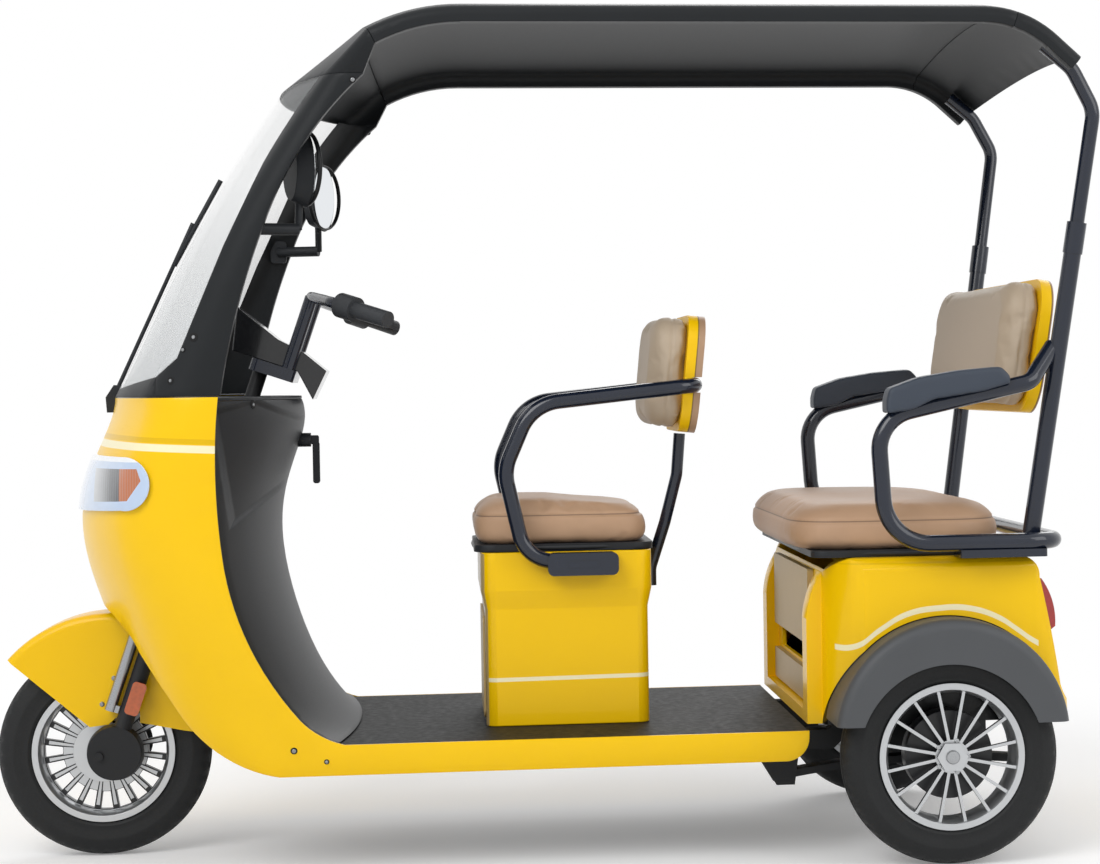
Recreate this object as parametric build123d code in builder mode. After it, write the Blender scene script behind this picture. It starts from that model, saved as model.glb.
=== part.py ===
from build123d import *
import os
from math import atan2, cos, degrees, pi, radians, sin, sqrt

os.makedirs("parts", exist_ok=True)

# Electric passenger tricycle, one wheel in front and two behind, in millimetres.
# +X forward, +Y to the rider's left, +Z up. The ground is Z = 0 and the origin
# lies on it, in the middle of the vehicle's length and width.

# Driving dimensions: wheels and axles
TYRE_RADIUS = 209
TYRE_WIDTH = 84
TREAD_HALF = 31
TREAD_DROP = 9
SIDEWALL_RADIUS = 172
BEAD_HALF = 35
RIM_FLANGE_RADIUS = 140
RIM_SEAT_RADIUS = 130
RIM_FLANGE_THICKNESS = 3.5
RIM_WALL = 8
WHEELBASE = 1632
FRONT_AXLE_X = 861
REAR_AXLE_X = FRONT_AXLE_X - WHEELBASE
REAR_WHEEL_Y = 398

# Gap between pieces that seat on each other, and round a shaft in its bore
SEAT_GAP = 0.3

# Driving dimensions: steering
RAKE = 19
STEER_AXIS_X = 801
LEG_OFFSET = 32.5
LEG_Y = 80
LEG_RADIUS = 17
AXLE_RADIUS = 8
STEERER_RADIUS = 15
HEAD_TUBE_RADIUS = 25
CROWN_LEVEL = 318
CROWN_THICKNESS = 24
CLAMP_LEVEL = 795
CLAMP_THICKNESS = 24
BAR_LEVEL = 968
BAR_RADIUS = 11
RISER_RADIUS = 13
RISER_Y = 86
RISER_X = -56
GRIP_RADIUS = 16
HUB_COVER_RADIUS = 56
HUB_COVER_THICKNESS = 26

# Driving dimensions: body
SHELL_WALL = 6
SHELL_TOP = 915
DECK_TOP = 255
MAT_THICKNESS = 8
SKIRT_BOTTOM = 196
DECK_REAR_X = REAR_AXLE_X + 261
DECK_HALF_WIDTH = 340
BODY_TOP = 587
BODY_WALL = 8

# Driving dimensions: roof
ROOF_EDGE_Z = 1624
ROOF_HALF_WIDTH = 500
ROOF_CROWN = 45
ROOF_RAIL_SIDE = 12.5
ROOF_RAIL_WIDTH = 28
ROOF_SKIN = 8
ROOF_FRONT_X = 135
ROOF_FRONT_RADIUS = 365
ROOF_REAR_X = REAR_AXLE_X - 66
ROOF_REAR_RADIUS = 212
ROOF_REAR_ANGLE = 42
ROOF_TAIL = 62
ROOF_JOINT_ANGLE = 18
ROOF_ARC_RADIUS = 2470
ROOF_CORNER_RADIUS = 20
HEADER_ANGLE = 28
GLASS_TOP = 1500
GLASS_THICKNESS = 5

# Half length of the cutters that trim the body from the side
CUT_REACH = ROOF_HALF_WIDTH + 100

# Driving dimensions: tubes
POST_RADIUS = 14
LOWER_POST_RADIUS = 17
ARM_TUBE_RADIUS = 16


def side_plane(y):
    """Side-view plane at a given Y: local x is +X and local y is +Z."""
    return Plane.XZ.offset(-y)


def rear_side_plane(y):
    """Side-view plane whose local x is measured forward from the rear axle."""
    return Plane.XZ.offset(-y).shift_origin((REAR_AXLE_X, y, 0))


def bow_points(nose, half_width, front_radius, corner_radius):
    """Tangent points of a bow outline: side, corner middle and front, on the +Y half."""
    front_centre = nose - front_radius
    corner_y = half_width - corner_radius
    reach = sqrt((front_radius - corner_radius) ** 2 - corner_y**2)
    corner_x = front_centre + reach
    front_angle = atan2(corner_y, reach)
    middle_angle = (front_angle + pi / 2) / 2
    side = (corner_x, half_width)
    middle = (corner_x + corner_radius * cos(middle_angle), corner_y + corner_radius * sin(middle_angle))
    front = (front_centre + front_radius * cos(front_angle), front_radius * sin(front_angle))
    return side, middle, front


def flipped(point):
    return (point[0], -point[1])


def bow_lines(nose, half_width, front_radius, corner_radius, rear):
    """Five edges of a bow from the rear right, round the nose, to the rear left."""
    side, middle, front = bow_points(nose, half_width, front_radius, corner_radius)
    Line((rear, -half_width), flipped(side))
    ThreePointArc(flipped(side), flipped(middle), flipped(front))
    ThreePointArc(flipped(front), (nose, 0), front)
    ThreePointArc(front, middle, side)
    Line(side, (rear, half_width))


def bow_face(plane, nose, half_width, front_radius, corner_radius, rear):
    """Closed bow, straight across at the rear."""
    with BuildSketch(plane) as section:
        with BuildLine():
            bow_lines(nose, half_width, front_radius, corner_radius, rear)
            Line((rear, half_width), (rear, -half_width))
        make_face()
    return section


def bow_band(plane, nose, half_width, front_radius, corner_radius, rear, skin, side_wall):
    """Bow-shaped band, open at the rear: skin thick at the nose and side_wall at the sides."""
    with BuildSketch(plane) as section:
        with BuildLine():
            bow_lines(nose, half_width, front_radius, corner_radius, rear)
            Line((rear, half_width), (rear, half_width - side_wall))
            bow_lines(nose - skin, half_width - side_wall, front_radius, corner_radius, rear)
            Line((rear, side_wall - half_width), (rear, -half_width))
        make_face()
    return section


# Wheels


def wheel_plane(axle_x, wheel_y, side):
    """Section plane of a wheel: local x runs outward along the axle, local y is up."""
    return Plane(origin=(axle_x, wheel_y, TYRE_RADIUS), x_dir=(0, side, 0), z_dir=(side, 0, 0))


def wheel_face(axle_x, wheel_y, side, depth):
    """Plane of a wheel's face, depth outward from its middle."""
    return Plane(origin=(axle_x, wheel_y + side * depth, TYRE_RADIUS), x_dir=(1, 0, 0), z_dir=(0, side, 0))


def axle_axis(axle_x):
    return Axis((axle_x, 0, TYRE_RADIUS), (0, 1, 0))


def make_tyre(axle_x, wheel_y):
    shoulder = TYRE_RADIUS - TREAD_DROP
    half = TYRE_WIDTH / 2
    bead = RIM_FLANGE_RADIUS + SEAT_GAP
    seat = RIM_SEAT_RADIUS + SEAT_GAP
    with BuildPart() as tyre:
        with BuildSketch(wheel_plane(axle_x, wheel_y, 1)):
            with BuildLine():
                ThreePointArc((-TREAD_HALF, shoulder), (0, TYRE_RADIUS), (TREAD_HALF, shoulder))
                ThreePointArc((TREAD_HALF, shoulder), (half, SIDEWALL_RADIUS), (BEAD_HALF, bead))
                Line((BEAD_HALF, bead), (BEAD_HALF - 4, seat))
                Line((BEAD_HALF - 4, seat), (4 - BEAD_HALF, seat))
                Line((4 - BEAD_HALF, seat), (-BEAD_HALF, bead))
                ThreePointArc((-BEAD_HALF, bead), (-half, SIDEWALL_RADIUS), (-TREAD_HALF, shoulder))
            make_face()
        revolve(axis=axle_axis(axle_x))
    return tyre


def rim_barrel(axle_x, wheel_y):
    """Drop-centre ring that carries the tyre."""
    inner = RIM_SEAT_RADIUS - RIM_WALL
    flange_in = BEAD_HALF + SEAT_GAP
    flange_out = flange_in + RIM_FLANGE_THICKNESS
    with BuildPart() as barrel:
        with BuildSketch(wheel_plane(axle_x, wheel_y, 1)):
            with BuildLine():
                Polyline(
                    (flange_out, RIM_SEAT_RADIUS - 2),
                    (flange_out, RIM_FLANGE_RADIUS),
                    (flange_in, RIM_FLANGE_RADIUS),
                    (flange_in - 4, RIM_SEAT_RADIUS),
                    (4 - flange_in, RIM_SEAT_RADIUS),
                    (-flange_in, RIM_FLANGE_RADIUS),
                    (-flange_out, RIM_FLANGE_RADIUS),
                    (-flange_out, RIM_SEAT_RADIUS - 2),
                    (-26, inner),
                    (26, inner),
                    close=True,
                )
            make_face()
        revolve(axis=axle_axis(axle_x))
    return barrel.part


def wheel_disc(axle_x, wheel_y, side, depth, radius, thickness):
    """Round disc on a wheel, its inner face depth outward from the wheel's middle."""
    with BuildPart() as disc:
        with BuildSketch(wheel_face(axle_x, wheel_y, side, depth)):
            Circle(radius)
        extrude(amount=thickness)
    return disc.part


FRONT_HUB_RADIUS = 60
FRONT_HUB_HALF = 34
FRONT_WEB_THICKNESS = 14
FRONT_WINDOWS = 20
WINDOW_INNER = 84
WINDOW_OUTER = 119
WINDOW_INNER_WIDTH = 15
WINDOW_OUTER_WIDTH = 25

with BuildPart() as front_tyre:
    add(make_tyre(FRONT_AXLE_X, 0).part)

with BuildPart() as front_rim:
    add(rim_barrel(FRONT_AXLE_X, 0))
    web_radius = RIM_SEAT_RADIUS - RIM_WALL / 2
    add(wheel_disc(FRONT_AXLE_X, 0, 1, -FRONT_WEB_THICKNESS / 2, web_radius, FRONT_WEB_THICKNESS))
    add(wheel_disc(FRONT_AXLE_X, 0, 1, -FRONT_HUB_HALF, FRONT_HUB_RADIUS, 2 * FRONT_HUB_HALF))
    window_height = WINDOW_OUTER - WINDOW_INNER
    window_slope = degrees(atan2(2 * window_height, WINDOW_OUTER_WIDTH - WINDOW_INNER_WIDTH))
    with BuildSketch(wheel_face(FRONT_AXLE_X, 0, 1, -FRONT_WEB_THICKNESS / 2)):
        with PolarLocations((WINDOW_INNER + WINDOW_OUTER) / 2, FRONT_WINDOWS):
            Trapezoid(WINDOW_OUTER_WIDTH, window_height, window_slope, rotation=90)
    extrude(amount=FRONT_WEB_THICKNESS, mode=Mode.SUBTRACT)
    front_bore = wheel_disc(FRONT_AXLE_X, 0, 1, -FRONT_HUB_HALF, AXLE_RADIUS + SEAT_GAP, 2 * FRONT_HUB_HALF)
    add(front_bore, mode=Mode.SUBTRACT)

REAR_SPOKES = 16
SPOKE_WIDTH = 6
SPOKE_DEPTH = 10
SPOKE_FACE = 24
REAR_HUB_RADIUS = 32
REAR_HUB_INNER = -44
REAR_CAP_RADIUS = 30
REAR_CAP_THICKNESS = 8
DRUM_RADIUS = 84
DRUM_INNER = -38
DRUM_THICKNESS = 44
STUB_RADIUS = 12
STUB_END = 20


def make_rear_rim(side):
    wheel_y = side * REAR_WHEEL_Y
    ring = RIM_SEAT_RADIUS - RIM_WALL / 2
    with BuildPart() as rim:
        add(rim_barrel(REAR_AXLE_X, wheel_y))
        with BuildSketch(wheel_face(REAR_AXLE_X, wheel_y, side, SPOKE_FACE)):
            with PolarLocations(0, REAR_SPOKES, start_angle=180 / REAR_SPOKES):
                with Locations((ring / 2, 0)):
                    Rectangle(ring, SPOKE_WIDTH)
        extrude(amount=SPOKE_DEPTH)
        hub_length = SPOKE_FACE + SPOKE_DEPTH - REAR_HUB_INNER
        add(wheel_disc(REAR_AXLE_X, wheel_y, side, REAR_HUB_INNER, REAR_HUB_RADIUS, hub_length))
        add(wheel_disc(REAR_AXLE_X, wheel_y, side, DRUM_INNER, DRUM_RADIUS, DRUM_THICKNESS))
        with BuildSketch(wheel_face(REAR_AXLE_X, wheel_y, side, SPOKE_FACE + SPOKE_DEPTH)):
            RegularPolygon(REAR_CAP_RADIUS, 6)
        extrude(amount=REAR_CAP_THICKNESS)
        bore_radius = STUB_RADIUS + SEAT_GAP
        bore_length = STUB_END - REAR_HUB_INNER
        bore = wheel_disc(REAR_AXLE_X, wheel_y, side, REAR_HUB_INNER, bore_radius, bore_length)
        add(bore, mode=Mode.SUBTRACT)
    return rim


# Steering: everything that turns with the handlebar is laid out on planes square to the
# steering axis. Local x is forward, local y is +Y and levels are measured along the axis
# from the point at axle height.


def steer_plane(level):
    lean = radians(RAKE)
    origin = (STEER_AXIS_X - level * sin(lean), 0, TYRE_RADIUS + level * cos(lean))
    return Plane(origin=origin, x_dir=(cos(lean), 0, sin(lean)), z_dir=(-sin(lean), 0, cos(lean)))


def steer_side_plane(y):
    """Side view of the steering at a given Y: local x is forward, local y runs up the axis."""
    lean = radians(RAKE)
    origin = (STEER_AXIS_X, y, TYRE_RADIUS)
    return Plane(origin=origin, x_dir=(cos(lean), 0, sin(lean)), z_dir=(0, -1, 0))


LEG_BOTTOM = -4
FENDER_HALF_WIDTH = 60
FENDER_BOSS_LEVEL = 170
FENDER_BOSS_HEIGHT = 34
STEERER_TOP = CLAMP_LEVEL
CROWN_TOP = CROWN_LEVEL + CROWN_THICKNESS

with BuildPart() as fork:
    with BuildSketch(steer_plane(LEG_BOTTOM)):
        with Locations((LEG_OFFSET, LEG_Y), (LEG_OFFSET, -LEG_Y)):
            Circle(LEG_RADIUS)
    extrude(amount=CROWN_TOP - LEG_BOTTOM)
    with BuildSketch(steer_plane(CROWN_LEVEL)):
        with Locations((LEG_OFFSET / 2, 0)):
            RectangleRounded(LEG_OFFSET + 2 * LEG_RADIUS, 2 * (LEG_Y + LEG_RADIUS), LEG_RADIUS - 1)
    extrude(amount=CROWN_THICKNESS)
    with BuildSketch(steer_plane(CROWN_TOP)):
        Circle(STEERER_RADIUS)
    extrude(amount=STEERER_TOP - CROWN_TOP)
    for side in (1, -1):
        cover_y = side * (LEG_Y + LEG_RADIUS - HUB_COVER_THICKNESS)
        cover_x = FRONT_AXLE_X - 28
        with BuildSketch(Plane(origin=(cover_x, cover_y, TYRE_RADIUS + 4), x_dir=(1, 0, 0), z_dir=(0, side, 0))):
            Circle(HUB_COVER_RADIUS)
        extrude(amount=HUB_COVER_THICKNESS, taper=8)
        boss_y = FENDER_HALF_WIDTH + SEAT_GAP
        with BuildSketch(steer_plane(FENDER_BOSS_LEVEL)):
            with Locations((LEG_OFFSET, side * (boss_y + LEG_Y) / 2)):
                Rectangle(22, LEG_Y - boss_y)
        extrude(amount=FENDER_BOSS_HEIGHT)
    axle_half = LEG_Y + LEG_RADIUS + 8
    with BuildSketch(side_plane(0)):
        with Locations((FRONT_AXLE_X, TYRE_RADIUS)):
            Circle(AXLE_RADIUS)
    extrude(amount=axle_half, both=True)

SHOCK_X = LEG_OFFSET + 34
SHOCK_RADIUS = 11
SHOCK_LOW = 70
SHOCK_HIGH = CROWN_LEVEL - 40

with BuildPart() as front_shocks:
    for side in (1, -1):
        with BuildSketch(steer_plane(SHOCK_LOW)):
            with Locations((SHOCK_X, side * LEG_Y)):
                Circle(SHOCK_RADIUS)
        extrude(amount=SHOCK_HIGH - SHOCK_LOW)
        for level in (SHOCK_LOW, SHOCK_HIGH - 14):
            with BuildSketch(steer_plane(level)):
                with Locations((LEG_OFFSET + LEG_RADIUS + 10 + SEAT_GAP, side * LEG_Y)):
                    Rectangle(20, 14)
            extrude(amount=14)

# Front mudguard: a crown arc over the tyre between two deep flanks, each with a slot for
# the shock absorber ahead of the fork leg.
FENDER_WALL = 4
FENDER_CENTRE = (846, 222)
FENDER_RADIUS = 264
FENDER_TIP_ANGLE = 42
FENDER_REAR_ANGLE = 178
FENDER_EDGE_RADIUS = 16


def fender_point(radius, angle):
    turn = radians(angle)
    return (FENDER_CENTRE[0] + radius * cos(turn), FENDER_CENTRE[1] + radius * sin(turn))


def fender_arc(radius):
    middle = (FENDER_TIP_ANGLE + FENDER_REAR_ANGLE) / 2
    return ThreePointArc(
        fender_point(radius, FENDER_TIP_ANGLE),
        fender_point(radius, middle),
        fender_point(radius, FENDER_REAR_ANGLE),
    )


with BuildPart() as fender_space:
    with BuildSketch(side_plane(0)):
        with BuildLine():
            inner_arc = fender_arc(FENDER_RADIUS - FENDER_WALL)
            below = TYRE_RADIUS / 2
            Polyline(
                inner_arc @ 1,
                ((inner_arc @ 1).X, below),
                (FENDER_CENTRE[0] + FENDER_RADIUS, below),
                (FENDER_CENTRE[0] + FENDER_RADIUS, (inner_arc @ 0).Y),
                inner_arc @ 0,
            )
        make_face()
    extrude(amount=FENDER_HALF_WIDTH - FENDER_WALL, both=True)
    fillet(fender_space.edges().filter_by(GeomType.CIRCLE), FENDER_EDGE_RADIUS - FENDER_WALL)

with BuildPart() as front_fender:
    with BuildSketch(side_plane(0)):
        with BuildLine():
            outer_arc = fender_arc(FENDER_RADIUS)
            Polyline(
                outer_arc @ 1,
                (700, 250),
                (786, 268),
                (786, 318),
                (848, 266),
                (884, 262),
                outer_arc @ 0,
            )
        make_face()
    extrude(amount=FENDER_HALF_WIDTH, both=True)
    fillet(front_fender.edges().filter_by(GeomType.CIRCLE), FENDER_EDGE_RADIUS)
    add(fender_space.part, mode=Mode.SUBTRACT)

BAR_BEND = (-64, 120)
BAR_ELBOW = (-104, 238)
BAR_END = (-212, 332)
BAR_BEND_RADIUS = 30
BAR_STRAIGHT_HALF = 60

with BuildPart() as handlebar:
    with BuildSketch(steer_plane(CLAMP_LEVEL)):
        with Locations((RISER_X / 2, 0)):
            RectangleRounded(abs(RISER_X) + 2 * RISER_RADIUS + 8, 2 * (RISER_Y + RISER_RADIUS), 12)
    extrude(amount=CLAMP_THICKNESS)
    with BuildSketch(steer_plane(CLAMP_LEVEL)):
        with Locations((RISER_X, RISER_Y), (RISER_X, -RISER_Y)):
            Circle(RISER_RADIUS)
    extrude(amount=BAR_LEVEL - CLAMP_LEVEL)
    bar_plane = steer_plane(BAR_LEVEL)
    with BuildSketch(Plane(origin=bar_plane.from_local_coords((RISER_X, 0, 0)), z_dir=(0, 1, 0))):
        Circle(BAR_RADIUS)
    extrude(amount=BAR_STRAIGHT_HALF, both=True)
    for side in (1, -1):
        with BuildLine(bar_plane) as bar_path:
            FilletPolyline(
                (RISER_X, side * BAR_STRAIGHT_HALF),
                (RISER_X, side * RISER_Y),
                (BAR_BEND[0], side * BAR_BEND[1]),
                (BAR_ELBOW[0], side * BAR_ELBOW[1]),
                (BAR_END[0], side * BAR_END[1]),
                radius=BAR_BEND_RADIUS,
            )
        with BuildSketch(Plane(origin=bar_path.line @ 0, z_dir=bar_path.line % 0)):
            Circle(BAR_RADIUS)
        sweep(path=bar_path.line)

GRIP_LENGTH = 128
SWITCH_LENGTH = 42
SWITCH_RADIUS = 24
GRIP_OVERHANG = 10
LEVER_REACH = 34
LEVER_LENGTH = 112
LEVER_ROOT = 16
LEVER_TIP = 9
LEVER_THICKNESS = 7

with BuildPart() as grips:
    for side in (1, -1):
        end = Vector(BAR_END[0], side * BAR_END[1], 0)
        elbow = Vector(BAR_ELBOW[0], side * BAR_ELBOW[1], 0)
        inward = (elbow - end).normalized()
        start = bar_plane.from_local_coords(end - inward * GRIP_OVERHANG)
        direction = bar_plane.from_local_coords(end) - bar_plane.from_local_coords(end - inward)
        ahead = bar_plane.x_dir
        grip_plane = Plane(origin=start, z_dir=direction)
        with BuildSketch(grip_plane):
            Circle(GRIP_RADIUS)
        extrude(amount=GRIP_LENGTH)
        with BuildSketch(grip_plane.offset(GRIP_LENGTH - SWITCH_LENGTH)):
            Circle(SWITCH_RADIUS)
        extrude(amount=SWITCH_LENGTH)
        lever_plane = Plane(origin=start, x_dir=direction, z_dir=bar_plane.z_dir).offset(-LEVER_THICKNESS / 2)
        forward = side * -1
        with BuildSketch(lever_plane):
            with BuildLine():
                root = GRIP_LENGTH - SWITCH_LENGTH / 2
                near = forward * (LEVER_REACH - LEVER_TIP)
                far = forward * (LEVER_REACH + LEVER_ROOT - LEVER_TIP)
                tip = GRIP_LENGTH - SWITCH_LENGTH / 2 - LEVER_LENGTH + SWITCH_LENGTH / 2
                Polyline(
                    (root, 0),
                    (root - LEVER_ROOT, near),
                    (tip, near),
                    (tip, near + forward * LEVER_TIP),
                    (root - LEVER_TIP, far),
                    (root + LEVER_ROOT, 0),
                    close=True,
                )
            make_face()
        extrude(amount=LEVER_THICKNESS)
        with BuildSketch(grip_plane.offset(GRIP_OVERHANG)):
            Circle(BAR_RADIUS + SEAT_GAP)
        extrude(amount=GRIP_LENGTH, mode=Mode.SUBTRACT)

POD_HALF_WIDTH = RISER_Y - RISER_RADIUS - SEAT_GAP

with BuildPart() as instrument_pod:
    with BuildSketch(steer_side_plane(0)):
        with BuildLine():
            Polyline(
                (78, 905),
                (-18, 868),
                (-71, 860),
                (-128, 838),
                (-120, CLAMP_LEVEL + CLAMP_THICKNESS + SEAT_GAP - 44),
                (-74, CLAMP_LEVEL + CLAMP_THICKNESS + SEAT_GAP),
                (60, CLAMP_LEVEL + CLAMP_THICKNESS + SEAT_GAP),
                close=True,
            )
        make_face()
    extrude(amount=POD_HALF_WIDTH, both=True)

REFLECTOR_LEVEL = 110
REFLECTOR_LENGTH = 66

with BuildPart() as fork_reflectors:
    for side in (1, -1):
        origin_y = side * (LEG_Y + LEG_RADIUS + SEAT_GAP)
        lean = radians(RAKE)
        x_dir = (-sin(lean), 0, cos(lean))
        origin = steer_plane(REFLECTOR_LEVEL).from_local_coords((LEG_OFFSET - 8, origin_y, 0))
        with BuildSketch(Plane(origin=origin, x_dir=x_dir, z_dir=(0, side, 0))):
            RectangleRounded(REFLECTOR_LENGTH, 28, 8)
        extrude(amount=8)

# Body shell: one moulding that wraps the nose and runs back as the skirts of the deck.
# Columns: level Z, nose X, half width, front radius, corner radius
SHELL_SECTIONS = (
    (190, 690, 345, 520, 150),
    (300, 775, 365, 560, 160),
    (420, 822, 392, 600, 160),
    (520, 858, 412, 620, 160),
    (640, 889, 424, 660, 150),
    (760, 877, 430, 720, 130),
    (SHELL_TOP, 822, 430, 800, 110),
)


def shell_form(inset, rear):
    """Solid bounded by the shell's outer surface moved inward by inset."""
    with BuildPart() as form:
        for level, nose, half_width, front_radius, corner_radius in SHELL_SECTIONS:
            add(bow_face(
                Plane.XY.offset(level), nose - inset, half_width - inset, front_radius, corner_radius, rear
            ).sketch)
        loft()
    return form.part


def shell_side_view():
    """Side outline that trims the shell: open to the rider, cut away over the wheel."""
    with BuildSketch(side_plane(0)) as outline:
        with BuildLine():
            ThreePointArc((588, SHELL_TOP), (596, 779), (584, 594))
            ThreePointArc((584, 594), (548, 462), (454, 304))
            ThreePointArc((454, 304), (418, 274), (372, DECK_TOP))
            Line((372, DECK_TOP), (DECK_REAR_X, DECK_TOP))
            Line((DECK_REAR_X, DECK_TOP), (DECK_REAR_X, 240))
            ThreePointArc((DECK_REAR_X, 240), (DECK_REAR_X + 14, 208), (DECK_REAR_X + 46, SKIRT_BOTTOM))
            Line((DECK_REAR_X + 46, SKIRT_BOTTOM), (495, SKIRT_BOTTOM))
            ThreePointArc((495, SKIRT_BOTTOM), (602, 238), (690, 333))
            Line((690, 333), (758, 432))
            ThreePointArc((758, 432), (790, 478), (840, 508))
            Line((840, 508), (920, 508))
            Line((920, 508), (920, SHELL_TOP))
            Line((920, SHELL_TOP), (588, SHELL_TOP))
        make_face()
    return outline


with BuildPart() as front_shell:
    add(shell_form(0, DECK_REAR_X - 20))
    add(shell_form(SHELL_WALL, DECK_REAR_X - 40), mode=Mode.SUBTRACT)
    extrude(shell_side_view().sketch, amount=CUT_REACH, both=True, mode=Mode.INTERSECT)

# Leg shield: dark panel that bulges towards the rider between the shell's rear edges.
# Columns: level Z, edge X, middle X, half width
LEG_SHIELD_SECTIONS = (
    (258, 384, 352, 352),
    (304, 458, 390, 366),
    (380, 515, 437, 384),
    (510, 568, 485, 409),
    (640, 592, 506, 423),
    (780, 599, 481, 429),
    (905, 592, 462, 430),
)
LEG_SHIELD_WALL = 6

with BuildPart() as leg_shield:
    for level, edge_x, middle_x, half_width in LEG_SHIELD_SECTIONS:
        with BuildSketch(Plane.XY.offset(level)):
            with BuildLine():
                front_x = edge_x + LEG_SHIELD_WALL
                ThreePointArc((edge_x, half_width), (middle_x, 0), (edge_x, -half_width))
                Line((edge_x, -half_width), (front_x, -half_width))
                ThreePointArc((front_x, -half_width), (middle_x + LEG_SHIELD_WALL, 0), (front_x, half_width))
                Line((front_x, half_width), (edge_x, half_width))
            make_face()
    loft()
    add(shell_form(SHELL_WALL + SEAT_GAP, DECK_REAR_X), mode=Mode.INTERSECT)

# Shelf that closes the top of the shell behind the glass, with a hole for the column
SHELF_THICKNESS = 6
SHELF_LEVEL = 905 + SEAT_GAP
COLUMN_HOLE_RADIUS = 26

with BuildPart() as dash_shelf:
    level, edge_x, middle_x, half_width = LEG_SHIELD_SECTIONS[-1]
    shell_top = SHELL_SECTIONS[-1]
    rim = SHELL_WALL + 3 * SEAT_GAP
    with BuildSketch(Plane.XY.offset(SHELF_LEVEL)) as shelf:
        add(bow_face(
            Plane.XY, shell_top[1] - rim, shell_top[2] - rim, shell_top[3], shell_top[4], middle_x
        ).sketch)
        with BuildLine():
            ThreePointArc((edge_x, half_width), (middle_x, 0), (edge_x, -half_width))
            Polyline(
                (edge_x, -half_width),
                (middle_x - 20, -half_width - 20),
                (middle_x - 20, half_width + 20),
                (edge_x, half_width),
            )
        make_face(mode=Mode.SUBTRACT)
    extrude(amount=SHELF_THICKNESS)
    with BuildSketch(steer_plane(0)):
        Circle(COLUMN_HOLE_RADIUS)
    extrude(amount=CLAMP_LEVEL, mode=Mode.SUBTRACT)

# Canopy front: the same bow outline carries the cowl, the pillar covers and the glass.
# Columns: level Z, nose X, half width, front radius, corner radius
CANOPY_SECTIONS = (
    (SHELL_TOP + SEAT_GAP, 822, 430, 800, 110),
    (1076, 743, 437, 850, 90),
    (1249, 655, 446, 880, 70),
    (1388, 570, 455, 900, 60),
    (GLASS_TOP, 492, 465, 950, 50),
)
CANOPY_REAR_X = 200
PILLAR_WALL = 26
COWL_WALL = 9
PILLAR_TOP_REAR_X = 313


def canopy_form(inset):
    """Solid bounded by the canopy's outer surface moved inward by inset."""
    with BuildPart() as form:
        for level, nose, half_width, front_radius, corner_radius in CANOPY_SECTIONS:
            add(bow_face(
                Plane.XY.offset(level), nose - inset, half_width - inset, front_radius, corner_radius, CANOPY_REAR_X
            ).sketch)
        loft()
    return form.part


# Side-view outlines of the pillar's front edge, from the cowl up to the glass top
PILLAR_FOOT = (704, 951)
PILLAR_HEEL = (662, 985)
PILLAR_WAIST = (574, 1190)
PILLAR_SHOULDER = (499, 1344)
PILLAR_HEAD = (392, GLASS_TOP)
COWL_NOSE = (840, 921)


def pillar_front_edge(shift):
    """Front edge of the pillar cover, moved forward by shift."""
    foot = (PILLAR_FOOT[0] + shift, PILLAR_FOOT[1] + shift)
    heel = (PILLAR_HEEL[0] + shift, PILLAR_HEEL[1] + shift)
    waist = (PILLAR_WAIST[0] + shift, PILLAR_WAIST[1])
    shoulder = (PILLAR_SHOULDER[0] + shift, PILLAR_SHOULDER[1])
    head = (PILLAR_HEAD[0] + shift, PILLAR_HEAD[1])
    ThreePointArc(head, (452 + shift, 1419), shoulder)
    Line(shoulder, waist)
    Line(waist, heel)
    Line(heel, foot)
    return head, foot


with BuildPart() as pillar_covers:
    add(canopy_form(0))
    add(canopy_form(PILLAR_WALL), mode=Mode.SUBTRACT)
    with BuildSketch(side_plane(0)) as pillar_outline:
        with BuildLine():
            head, foot = pillar_front_edge(0)
            base = SHELL_TOP + SEAT_GAP
            Line(foot, (foot[0], base))
            Line((foot[0], base), (585, base))
            ThreePointArc((585, base), (553, 1065), (500, 1225))
            ThreePointArc((500, 1225), (420, 1380), (PILLAR_TOP_REAR_X, GLASS_TOP))
            Line((PILLAR_TOP_REAR_X, GLASS_TOP), head)
        make_face()
    extrude(amount=CUT_REACH, both=True, mode=Mode.INTERSECT)

with BuildPart() as cowl:
    add(canopy_form(0))
    add(canopy_form(COWL_WALL), mode=Mode.SUBTRACT)
    with BuildSketch(side_plane(0)):
        with BuildLine():
            base = SHELL_TOP + SEAT_GAP
            Polyline(
                (PILLAR_FOOT[0] + SEAT_GAP, base),
                (PILLAR_FOOT[0] + SEAT_GAP, PILLAR_FOOT[1]),
                COWL_NOSE,
                (COWL_NOSE[0], base),
                close=True,
            )
        make_face()
    extrude(amount=CUT_REACH, both=True, mode=Mode.INTERSECT)

with BuildPart() as windshield:
    add(canopy_form(0))
    add(canopy_form(GLASS_THICKNESS), mode=Mode.SUBTRACT)
    with BuildSketch(side_plane(0)):
        with BuildLine():
            gap = 2 * SEAT_GAP
            head, foot = pillar_front_edge(gap)
            Line(foot, (COWL_NOSE[0] + gap, COWL_NOSE[1] + gap))
            Line((COWL_NOSE[0] + gap, COWL_NOSE[1] + gap), (COWL_NOSE[0] + gap, GLASS_TOP))
            Line((COWL_NOSE[0] + gap, GLASS_TOP), head)
        make_face()
    extrude(amount=CUT_REACH, both=True, mode=Mode.INTERSECT)

# Roof: a crowned panel with side rails, swept along its side line


def roof_point(x, z, angle):
    """Station plane square to the roof's side line: local x outward, local y is +Y."""
    turn = radians(angle)
    return Plane(origin=(x, 0, z), x_dir=(sin(turn), 0, cos(turn)), z_dir=(-cos(turn), 0, sin(turn)))


def front_station(angle):
    turn = radians(angle)
    x = ROOF_FRONT_X + ROOF_FRONT_RADIUS * sin(turn)
    z = ROOF_EDGE_Z - ROOF_FRONT_RADIUS * (1 - cos(turn))
    return roof_point(x, z, angle)


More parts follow.
